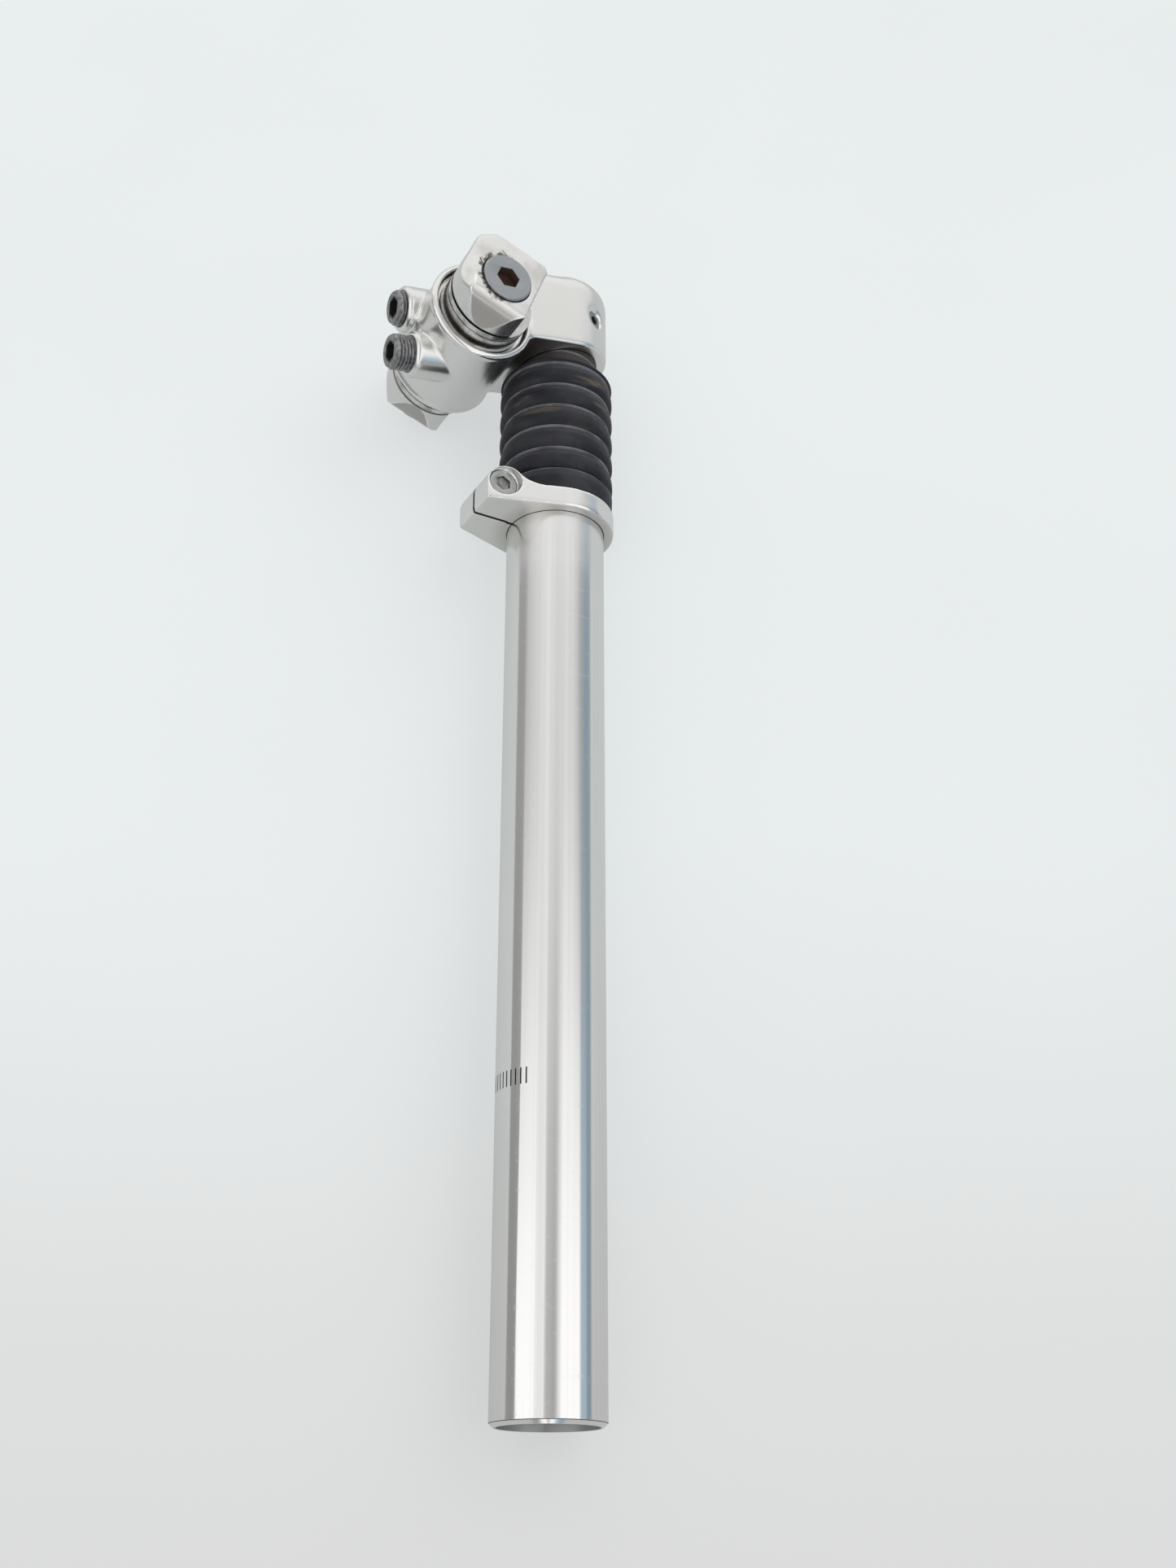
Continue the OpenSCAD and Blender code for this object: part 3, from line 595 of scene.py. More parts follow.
@finish_rule("tube_alloy")
def tube_alloy(wires, spot, colours):
    """Turned and polished tube: fine rings, a few scratches, dark marks in the engraving, painted shade in its
    bore.
    """
    reach, along = about_post(wires, spot)
    rings = wires.group(turning_lines(), {"Along": along, "Spacing": 0.00035})
    scars = wires.group(scratches(), {"Vector": spot, "Scale": 30.0, "Amount": 0.7})
    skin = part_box("outer_tube")[1].x
    engraved = wires.remap(reach, skin - 0.02 * MM, skin - 0.06 * MM)
    on_outside = wires.remap(reach, skin - 0.2 * MM, skin - 0.17 * MM)
    below_neck = wires.remap(along, 230 * MM, 228 * MM)
    mark = wires.times(wires.times(engraved, on_outside), below_neck)
    # Painted shade: the bore inside the tube is coloured darker grey.
    inside = wires.remap(reach, skin - 1.2 * MM, skin - 1.5 * MM)
    cloud = wires.remap(wires.noise(spot, 35.0, 3.0), 0.3, 0.7, 0.0, 0.10)
    tone = wires.blend(cloud, flat(colours.alloy), (0.70, 0.70, 0.69, 1))
    tone = wires.coat(tone, inside, 0.55, (0.33, 0.33, 0.33, 1))
    tone = wires.blend(mark, tone, (0.06, 0.06, 0.065, 1))
    bright_below, satin_above = 214 * MM, 225 * MM
    satin = wires.remap(along, bright_below, satin_above, 0.0, 0.1)
    gloss = wires.maths("ADD", satin, wires.remap(rings["Height"], 0.25, 0.75, 0.085, 0.15))
    gloss = wires.raised(gloss, inside, 0.25)
    fewer = wires.remap(along, bright_below, satin_above, 1.0, 0.1)
    scratch = wires.times(scars["Mask"], fewer)
    gloss = wires.raised(gloss, scratch, 0.1)
    gloss = wires.raised(gloss, mark, 0.3)
    normal = bump(wires, rings["Height"], 0.0000016)
    normal = bump(wires, scratch, -0.000002, normal)
    return {"Base Color": tone, "Metallic": 1.0, "Roughness": gloss, "Normal": normal}


@finish_rule("collar_alloy")
def collar_alloy(wires, spot, colours):
    """Polished collar, satin underneath, dark in its slot and round the tube."""
    reach, along = about_post(wires, spot)
    parts = wires.add("SeparateXYZ", {"Vector": spot}).outputs
    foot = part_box("clamp_collar")[0].z
    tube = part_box("outer_tube")[1].y
    under = wires.remap(along, foot + 0.3 * MM, foot + 0.12 * MM)
    slot = wires.remap(wires.maths("ABSOLUTE", parts["Y"]), 0.58 * MM, 0.38 * MM)
    slot = wires.times(slot, wires.remap(parts["X"], 0, -2 * MM))
    gap = wires.remap(reach, tube + 0.25 * MM, tube + 0.1 * MM)
    gap = wires.times(gap, wires.remap(along, foot + 1.2 * MM, foot + 0.8 * MM))
    dark = wires.maths("MAXIMUM", slot, gap)
    scars = wires.group(scratches(), {"Vector": spot, "Scale": 70.0, "Amount": 0.6})
    specks = wires.group(grime(), {"Vector": spot, "Scale": 260.0, "Amount": 0.28})
    tone = wires.coat(flat(colours.alloy), specks["Mask"], 0.45, flat(colours.dirt))
    tone = wires.coat(tone, under, 0.5, (0.80, 0.795, 0.77, 1))
    # The underside is coloured darker and browner towards the tube.
    darker_near_tube = wires.times(under, wires.remap(reach, tube + 6 * MM, tube, 0.1, 0.7))
    tone = wires.blend(darker_near_tube, tone, (0.56, 0.545, 0.51, 1))
    tone = wires.blend(dark, tone, (0.012, 0.011, 0.010, 1))
    gloss = wires.remap(wires.noise(spot, 420.0, 3.0), 0.3, 0.7, 0.11, 0.19)
    gloss = wires.raised(gloss, under, 0.36)
    gloss = wires.raised(gloss, scars["Mask"], 0.12)
    gloss = wires.raised(gloss, dark, 0.4)
    metal = wires.maths("SUBTRACT", 1.0, dark)
    normal = bump(wires, wires.noise(spot, 160.0, 2.0), 0.00002)
    normal = bump(wires, scars["Mask"], -0.000003, normal)
    return {"Base Color": tone, "Metallic": metal, "Roughness": gloss, "Normal": normal}


@finish_rule("head_alloy")
def head_alloy(wires, spot, colours):
    """Satin forging with polished lips and grime in the recess round the clamp."""
    reach, side = about_barrel(wires, spot)
    ring = wires.remap(side, 12.6 * MM, 13.2 * MM)
    near = wires.remap(reach, 16.2 * MM, 15.8 * MM)
    lip = wires.times(ring, near)
    recess = wires.times(lip, wires.remap(reach, 14.0 * MM, 13.7 * MM))
    scars = wires.group(scratches(), {"Vector": spot, "Scale": 45.0, "Amount": 0.25})
    specks = wires.group(grime(), {"Vector": spot, "Scale": 170.0, "Amount": 0.30})
    grain = wires.noise(spot, 2600.0, 4.0, 0.6)
    cloud = wires.remap(wires.noise(spot, 110.0, 3.0), 0.35, 0.7, 0.0, 0.35)
    tone = wires.blend(cloud, flat(colours.cast_alloy), (0.76, 0.755, 0.73, 1))
    tone = wires.coat(tone, specks["Mask"], 0.4, flat(colours.dirt))
    tone = wires.coat(tone, recess, 0.92, flat(colours.dirt))
    gloss = wires.remap(grain, 0.3, 0.7, 0.23, 0.27)
    gloss = wires.maths("SUBTRACT", gloss, wires.times(lip, 0.16))
    gloss = wires.raised(gloss, recess, 0.35)
    gloss = wires.raised(gloss, scars["Mask"], 0.06)
    normal = bump(wires, grain, 0.000001)
    normal = bump(wires, wires.noise(spot, 140.0, 2.0), 0.00001, normal)
    normal = bump(wires, scars["Mask"], -0.000002, normal)
    return {"Base Color": tone, "Metallic": 1.0, "Roughness": gloss, "Normal": normal}


@finish_rule("clamp_alloy")
def clamp_alloy(wires, spot, colours):
    """Worn satin clamps, browned and crusted with dark specks round the bolt, with a painted shadow in the gap
    round the bolt's head and painted shade on the slanted underside.
    """
    reach, side = about_barrel(wires, spot)
    outer = wires.remap(side, 26 * MM, 28.5 * MM)
    ahead = wires.add("SeparateXYZ", {"Vector": spot}).outputs["X"]
    behind = wires.remap(ahead, PIVOT.x + 5 * MM, PIVOT.x - 4 * MM, 0.35, 1.0)
    # Brown on the slanted underside: partly a real stain, partly painted shade.
    toe = wires.add("Attribute", attribute_name=STAIN_AND_SHADE).outputs["Fac"]
    crust = wires.times(wires.remap(reach, 11.2 * MM, 7.5 * MM, 0.0, 0.60), outer)
    amount = wires.maths("ADD", 0.12, wires.times(crust, behind))
    specks = wires.group(grime(), {"Vector": spot, "Scale": 650.0, "Amount": amount})
    # Painted shadow: a dark ring in the gap round the bolt's head.
    ring = wires.times(outer, wires.remap(reach, 7.55 * MM, 7.38 * MM, 0.0, 0.75))
    parting = wires.remap(side, 19.6 * MM, 20.1 * MM)
    parting = wires.times(parting, wires.remap(side, 20.9 * MM, 20.4 * MM))
    inner = wires.remap(side, 19.9 * MM, 19.6 * MM)
    grease = wires.remap(wires.noise(spot, 260.0, 3.0), 0.35, 0.65, 0.25, 0.8)
    grease = wires.times(inner, grease)
    wear = wires.group(edge_wear(), {"Vector": spot, "Start": 0.53, "Full": 0.56})
    scars = wires.group(scratches(), {"Vector": spot, "Scale": 60.0, "Amount": 0.4})
    grain = wires.noise(spot, 2200.0, 4.0, 0.6)
    brown = wires.remap(wires.noise(spot, 150.0, 3.0), 0.4, 0.65, 0.0, 0.35)
    brown = wires.times(brown, wires.maths("ADD", outer, 0.2))
    brown = wires.maths("MAXIMUM", brown, wires.times(toe, 0.9))
    tone = wires.blend(brown, flat(colours.cast_alloy), (0.45, 0.43, 0.40, 1))
    bright = wires.add("Attribute", attribute_name=WORN).outputs["Fac"]
    bright = wires.maths("MAXIMUM", bright, wires.times(wear["Mask"], 0.8))
    tone = wires.blend(bright, tone, (0.97, 0.965, 0.95, 1))
    tone = wires.coat(tone, grease, 0.75, (0.13, 0.12, 0.105, 1))
    tone = wires.coat(tone, specks["Mask"], 0.85, (0.10, 0.08, 0.062, 1))
    tone = wires.coat(tone, parting, 0.85, flat(colours.dirt))
    tone = wires.blend(ring, tone, (0.05, 0.045, 0.04, 1))
    gloss = wires.remap(grain, 0.3, 0.7, 0.24, 0.31)
    gloss = wires.raised(gloss, specks["Mask"], 0.35)
    gloss = wires.raised(gloss, scars["Mask"], 0.08)
    gloss = wires.raised(gloss, toe, 0.06)
    gloss = wires.maths("SUBTRACT", gloss, wires.times(wear["Mask"], 0.05))
    normal = bump(wires, grain, 0.000002)
    normal = bump(wires, specks["Mask"], -0.000004, normal)
    normal = bump(wires, scars["Mask"], -0.000003, normal)
    return {"Base Color": tone, "Metallic": 1.0, "Roughness": gloss, "Normal": normal}


@finish_rule("bolt_steel")
def bolt_steel(wires, spot, colours):
    """Dull blue-grey plating; its socket is coloured rust brown mottled with near black."""
    reach, side = about_barrel(wires, spot)
    socket = wires.remap(reach, 3.75 * MM, 3.55 * MM)
    bolt_face = -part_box("clamp_bolt")[0].y
    sunk = wires.remap(side, bolt_face - 0.12 * MM, bolt_face - 0.3 * MM)
    socket = wires.times(socket, sunk)
    worn = wires.group(edge_wear(), {"Vector": spot, "Start": 0.52, "Full": 0.6})
    specks = wires.group(grime(), {"Vector": spot, "Scale": 500.0, "Amount": 0.25})
    rust = wires.blend(wires.noise(spot, 1600.0, 4.0), flat(colours.rust), (0.012, 0.009, 0.008, 1))
    tone = wires.blend(specks["Mask"], flat(colours.bolt), (0.17, 0.17, 0.165, 1))
    tone = wires.coat(tone, worn["Mask"], 0.8, (0.60, 0.61, 0.62, 1))
    tone = wires.blend(socket, tone, rust)
    metal = wires.maths("SUBTRACT", 1.0, socket)
    gloss = wires.remap(wires.noise(spot, 1500.0, 4.0), 0.3, 0.7, 0.34, 0.46)
    gloss = wires.raised(gloss, socket, 0.4)
    normal = bump(wires, wires.noise(spot, 2400.0, 4.0), 0.00001)
    return {"Base Color": tone, "Metallic": metal, "Roughness": gloss, "Normal": normal}


@finish_rule("zinc_steel")
def zinc_steel(wires, spot, colours):
    """Zinc plating, slightly dulled, with its socket coloured darker further in."""
    low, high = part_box("collar_pinch_bolt")
    centre = ((low.x + high.x) / 2, 0, (low.z + high.z) / 2)
    reach, along = about(wires, spot, centre, (0, 1, 0))
    socket = wires.remap(reach, 2.5 * MM, 2.2 * MM)
    deep = wires.remap(along, low.y + 0.4 * MM, low.y + 2.2 * MM)
    worn = wires.group(edge_wear(), {"Vector": spot, "Start": 0.52, "Full": 0.6})
    specks = wires.group(grime(), {"Vector": spot, "Scale": 600.0, "Amount": 0.34})
    tone = wires.coat(flat(colours.zinc), specks["Mask"], 0.6, (0.16, 0.15, 0.13, 1))
    tone = wires.coat(tone, worn["Mask"], 0.7, (0.82, 0.82, 0.80, 1))
    dark = wires.times(wires.times(socket, deep), 0.45)
    tone = wires.blend(dark, tone, flat(colours.dirt))
    gloss = wires.remap(wires.noise(spot, 1400.0, 4.0), 0.3, 0.7, 0.22, 0.36)
    normal = bump(wires, wires.noise(spot, 2200.0, 3.0), 0.000008)
    return {"Base Color": tone, "Metallic": 1.0, "Roughness": gloss, "Normal": normal}


@finish_rule("oxide_steel")
def oxide_steel(wires, spot, colours):
    """Black oxide, worn grey on the crests of the thread."""
    worn = wires.group(edge_wear(), {"Vector": spot, "Start": 0.51, "Full": 0.58})
    specks = wires.group(grime(), {"Vector": spot, "Scale": 450.0, "Amount": 0.45})
    tone = wires.coat(flat(colours.oxide), worn["Mask"], 0.75, (0.42, 0.42, 0.42, 1))
    tone = wires.coat(tone, specks["Mask"], 0.5, (0.10, 0.075, 0.055, 1))
    gloss = wires.remap(wires.noise(spot, 1300.0, 4.0), 0.3, 0.7, 0.30, 0.48)
    normal = bump(wires, wires.noise(spot, 2400.0, 3.0), 0.00001)
    return {"Base Color": tone, "Metallic": 0.85, "Roughness": gloss, "Normal": normal}


@finish_rule("bellows_rubber")
def bellows_rubber(wires, spot, colours):
    """Matt black rubber: a painted highlight along each crease, a paler band of painted sheen under each, dust
    above.
    """
    sizes = bpy.context.scene.seatpost_boot
    rest = wires.add("Attribute", attribute_name=REST).outputs["Vector"]
    height = wires.add("SeparateXYZ", {"Vector": rest}).outputs["Z"]
    low, top = sizes.low_crease, sizes.top_crease
    pitch = (top - low) / sizes.folds
    folds = wires.maths("DIVIDE", wires.maths("SUBTRACT", height, low), pitch)
    share = wires.maths("FRACT", folds)
    from_crease = wires.maths("PINGPONG", folds, 0.5)
    # Painted highlight: a pale line along each crease.
    crease_highlight = wires.remap(from_crease, 0.065, 0.035)
    # Painted sheen: a paler band on the upper part of each fold, just under the crease above.
    band = wires.times(wires.remap(share, 0.62, 0.80), wires.remap(share, 1.0, 0.97))
    patchy = wires.remap(wires.noise(rest, 160.0, 3.0), 0.35, 0.65, 0.45, 1.0)
    upper = wires.remap(height, 256 * MM, 276 * MM)
    long_patches = wires.stretch(rest, scale=(0.45, 0.45, 1.8))
    patch = wires.remap(wires.noise(long_patches, 130.0, 4.0, 0.6), 0.55, 0.70)
    dusty = wires.times(wires.times(patch, upper), 0.75)
    neck = wires.remap(height, top + 1.5 * MM, top + 2.5 * MM, 0.0, 0.22)
    dusty = wires.maths("MAXIMUM", dusty, neck)
    specks = wires.group(grime(), {"Vector": rest, "Scale": 700.0, "Amount": 0.22})
    # The paler band is painted sheen, broken up by patches.
    tone = wires.blend(wires.times(band, wires.times(patchy, 0.6)), flat(colours.rubber),
                       (0.060, 0.061, 0.070, 1))
    haze = wires.remap(wires.noise(rest, 75.0, 4.0, 0.6), 0.42, 0.68, 0.0, 0.45)
    tone = wires.blend(haze, tone, (0.040, 0.041, 0.048, 1))
    tone = wires.blend(wires.times(crease_highlight, patchy), tone, (0.19, 0.19, 0.21, 1))
    tone = wires.blend(dusty, tone, flat(colours.dust))
    tone = wires.coat(tone, specks["Mask"], 0.5, (0.22, 0.20, 0.17, 1))
    gloss = wires.remap(wires.noise(rest, 1100.0, 4.0), 0.3, 0.7, 0.44, 0.56)
    gloss = wires.raised(gloss, dusty, 0.3)
    normal = bump(wires, wires.noise(rest, 2000.0, 4.0), 0.000008)
    return {"Base Color": tone, "Roughness": gloss, "Normal": normal,
            "Specular IOR Level": 0.3}


@finish_rule("plug_alloy")
def plug_alloy(wires, spot, colours):
    """Machined alloy inside the tube, dull and a little greasy."""
    reach = about_post(wires, spot)[0]
    rings = wires.group(turning_lines(), {"Along": reach, "Spacing": 0.0003})
    specks = wires.group(grime(), {"Vector": spot, "Scale": 250.0, "Amount": 0.4})
    tone = wires.coat((0.52, 0.53, 0.55, 1), specks["Mask"], 0.7, (0.10, 0.08, 0.06, 1))
    gloss = wires.remap(rings["Height"], 0.3, 0.7, 0.28, 0.42)
    normal = bump(wires, rings["Height"], 0.00001)
    return {"Base Color": tone, "Metallic": 1.0, "Roughness": gloss, "Normal": normal}


@finish_rule("inner_steel")
def inner_steel(wires, spot, colours):
    """Ground steel with a film of grease."""
    along = about_post(wires, spot)[1]
    rings = wires.group(turning_lines(), {"Along": along, "Spacing": 0.0002})
    smear = wires.remap(wires.noise(spot, 90.0, 3.0), 0.45, 0.7, 0.0, 0.6)
    tone = wires.blend(smear, (0.60, 0.60, 0.61, 1), (0.34, 0.31, 0.26, 1))
    gloss = wires.remap(rings["Height"], 0.3, 0.7, 0.16, 0.28)
    normal = bump(wires, rings["Height"], 0.000003)
    return {"Base Color": tone, "Metallic": 1.0, "Roughness": gloss, "Normal": normal}


@finish_rule("spring_steel")
def spring_steel(wires, spot, colours):
    """Drawn wire, dark and oiled."""
    blotch = wires.remap(wires.noise(spot, 220.0, 4.0), 0.4, 0.7, 0.0, 0.8)
    tone = wires.blend(blotch, (0.28, 0.29, 0.30, 1), (0.14, 0.12, 0.10, 1))
    gloss = wires.remap(wires.noise(spot, 900.0, 3.0), 0.3, 0.7, 0.28, 0.42)
    normal = bump(wires, wires.noise(spot, 1800.0, 3.0), 0.000008)
    return {"Base Color": tone, "Metallic": 1.0, "Roughness": gloss, "Normal": normal}


@finish_rule("bush_plastic")
def bush_plastic(wires, spot, colours):
    """Moulded acetal, rubbed by the shaft."""
    rub = wires.remap(wires.noise(wires.stretch(spot, scale=(1, 1, 0.1)), 500.0, 3.0), 0.45, 0.7)
    tone = wires.blend(rub, (0.80, 0.78, 0.71, 1), (0.62, 0.60, 0.54, 1))
    gloss = wires.remap(wires.noise(spot, 800.0, 2.0), 0.3, 0.7, 0.38, 0.52)
    normal = bump(wires, rub, -0.000006)
    return {"Base Color": tone, "Roughness": gloss, "Normal": normal}


@finish_rule("bumper_rubber")
def bumper_rubber(wires, spot, colours):
    """Soft moulded elastomer."""
    bloom = wires.remap(wires.noise(spot, 160.0, 3.0), 0.4, 0.7, 0.0, 0.5)
    tone = wires.blend(bloom, (0.024, 0.022, 0.022, 1), (0.07, 0.065, 0.06, 1))
    gloss = wires.remap(wires.noise(spot, 1000.0, 3.0), 0.3, 0.7, 0.5, 0.66)
    normal = bump(wires, wires.noise(spot, 1500.0, 3.0), 0.00001)
    return {"Base Color": tone, "Roughness": gloss, "Normal": normal}


# ---- Stage ----

# Brightness of the studio walls by direction round the post, in degrees to the right of the
# camera: first level with the post, then above it
LEVEL_WALLS = ((-96, 0.60), (-93, 0.31), (-67, 0.30), (-65, 1.15), (-28, 1.15), (-27, 0.95),
               (-16, 0.93), (-14, 0.82), (-11, 1.05), (-8, 0.80), (-5, 0.50), (13, 0.42),
               (25, 1.15), (64, 1.15), (65, 0.52), (79, 0.52), (80, 0.32), (92, 0.32), (95, 0.60))
UPPER_WALLS = ((-94, 0.35), (-70, 0.35), (-60, 0.57), (-48, 0.65), (-36, 0.72), (-11, 0.86),
               (1, 0.76), (13, 0.73), (31, 0.79), (50, 0.70), (62, 0.46), (74, 0.36), (86, 0.36),
               (98, 0.51))
CEILING = 0.98  # brightness overhead
CAMERA_SIDE = -119  # where the camera stands round the post, in degrees from the front
COOL = (0.80, 1.0, 1.17)  # tint of the dim walls between these two directions
COOL_FROM, COOL_TO = 64, 93


def wall_ramp(wires, where, walls):
    """A ramp of brightness round the post, a little blue where the walls are dim at the right."""
    ramp = wires.add("ValToRGB", {"Fac": where})
    stops = ramp.color_ramp.elements
    while len(stops) < len(walls):
        stops.new(0.5)
    for stop, (turn, level) in zip(stops, walls):
        stop.position = turn / 360 + 0.5
        dim_right = COOL_FROM < turn < COOL_TO and level < 0.6
        tint = COOL if dim_right else (1, 1, 1)
        stop.color = (*(level * part for part in tint), 1)
    return ramp.outputs["Color"]


def studio(scene):
    """Soft light walls all round, plain and pale where the camera sees them."""
    world = bpy.data.worlds.new("Studio")
    world.use_nodes = True
    world.node_tree.nodes.clear()
    wires = Wires(world.node_tree)
    toward = wires.add("TexCoord").outputs["Generated"]
    facing = wires.stretch(toward, turn=(0, 0, math.radians(-CAMERA_SIDE)))
    parts = wires.add("SeparateXYZ", {"Vector": facing})
    turn = wires.maths("ARCTAN2", parts.outputs["Y"], parts.outputs["X"])
    where = wires.maths("ADD", wires.maths("DIVIDE", turn, math.tau), 0.5)
    level = wall_ramp(wires, where, LEVEL_WALLS)
    upper = wall_ramp(wires, where, UPPER_WALLS)
    height = parts.outputs["Z"]
    rise = wires.remap(height, math.sin(math.radians(5)), math.sin(math.radians(28)))
    light = wires.blend(rise, level, upper)
    high = wires.remap(height, math.sin(math.radians(30)), math.sin(math.radians(42)))
    light = wires.blend(high, light, (CEILING, CEILING, CEILING, 1))
    seen = wires.add("LightPath").outputs["Is Camera Ray"]
    shown = wires.blend(seen, light, (0.75, 0.785, 0.785, 1))
    background = wires.add("Background", {"Color": shown})
    output = wires.add("OutputWorld")
    world.node_tree.links.new(background.outputs[0], output.inputs["Surface"])
    scene.world = world


def table_finish(shade):
    """A pale lit table top, seen only from its upper side, with painted shade: a little greyer towards the foot,
    and darker in reflections.
    """
    material = bpy.data.materials.new("Table top")
    material.use_nodes = True
    material.node_tree.nodes.clear()
    wires = Wires(material.node_tree)
    spot = wires.add("TexCoord").outputs["Object"]
    height = wires.add("SeparateXYZ", {"Vector": spot}).outputs["Z"]
    cloud = wires.remap(wires.noise(spot, 5.0, 3.0), 0.3, 0.7)
    tone = wires.blend(cloud, flat(shade), (*(part * 0.975 for part in shade), 1))
    # Painted shade: the table top greys towards the foot.
    tone = wires.blend(wires.remap(height, -60 * MM, 170 * MM), (0.69, 0.69, 0.69, 1), tone)
    rays = wires.add("LightPath").outputs
    # Painted shade: the table is a quarter darker where metal reflects it, standing in for its shadow near the
    # post.
    glossy = wires.times(rays["Is Glossy Ray"], 0.25)
    tone = wires.blend(glossy, tone, (0, 0, 0, 1))
    top = wires.add("BsdfPrincipled", {"Base Color": tone, "Roughness": 0.7})
    lit = wires.add("Emission", {"Color": tone, "Strength": 1.0})
    seen = wires.maths("ADD", rays["Is Camera Ray"], rays["Is Glossy Ray"])
    seen = wires.maths("ADD", seen, rays["Is Transmission Ray"])
    share = wires.times(seen, 0.7)
    shown = wires.add("MixShader", {0: share, 1: top.outputs[0], 2: lit.outputs[0]})
    clear = wires.add("BsdfTransparent")
    behind = wires.add("NewGeometry").outputs["Backfacing"]
    both = wires.add("MixShader", {0: behind, 1: shown.outputs[0], 2: clear.outputs[0]})
    output = wires.add("OutputMaterial")
    material.node_tree.links.new(both.outputs[0], output.inputs["Surface"])
    return material


class SEATPOST_OT_stage(bpy.types.Operator):
    """Lays the post on a pale table and sets up the light and the camera"""
    bl_idname = "seatpost.stage"
    bl_label = "Stage"

    def execute(self, context):
        settings = context.scene.seatpost_stage
        # The post rests on its foot, on the collar and on the edge of the clamp's nut
        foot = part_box("outer_tube")[1].y
        collar_low, collar_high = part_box("clamp_collar")
        nut_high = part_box("clamp_nut")[1]
        nut_edge = Vector((nut_high.x, nut_high.y, 0))
        slope = (collar_high.y - foot) / collar_low.z
        depth = foot + slope * PIVOT.z
        down = math.atan2(nut_edge.y, nut_edge.x) - math.acos(depth / nut_edge.length)
        deselect()
        bpy.ops.mesh.primitive_plane_add(size=settings.floor_size)
        table = added("table_top")
        place(table, Matrix.Rotation(down, 4, "Z") @ Matrix.Translation((foot, 0, 0))
              @ Matrix.Rotation(math.atan(slope) - math.radians(90), 4, "Y"))
        table.data.materials.append(table_finish(settings.floor_colour))

        bpy.ops.object.light_add(type="SUN")
        lamp = context.object
        lamp.name = "soft_light"
        lamp.data.energy = settings.key_strength
        lamp.data.angle = math.radians(50)
        lamp.rotation_euler = Vector((-0.25, 1.0, -0.35)).to_track_quat("-Z", "Y").to_euler()
        lamp.visible_glossy = False

        bpy.ops.object.camera_add(location=settings.camera_place, rotation=settings.camera_turn)
        camera = context.object
        camera.data.lens = settings.lens
        camera.data.sensor_width = 36
        camera.data.clip_start = 0.01
        context.scene.camera = camera

        studio(context.scene)
        context.scene.view_settings.view_transform = "Standard"
        return {"FINISHED"}


# ---- Boot ----

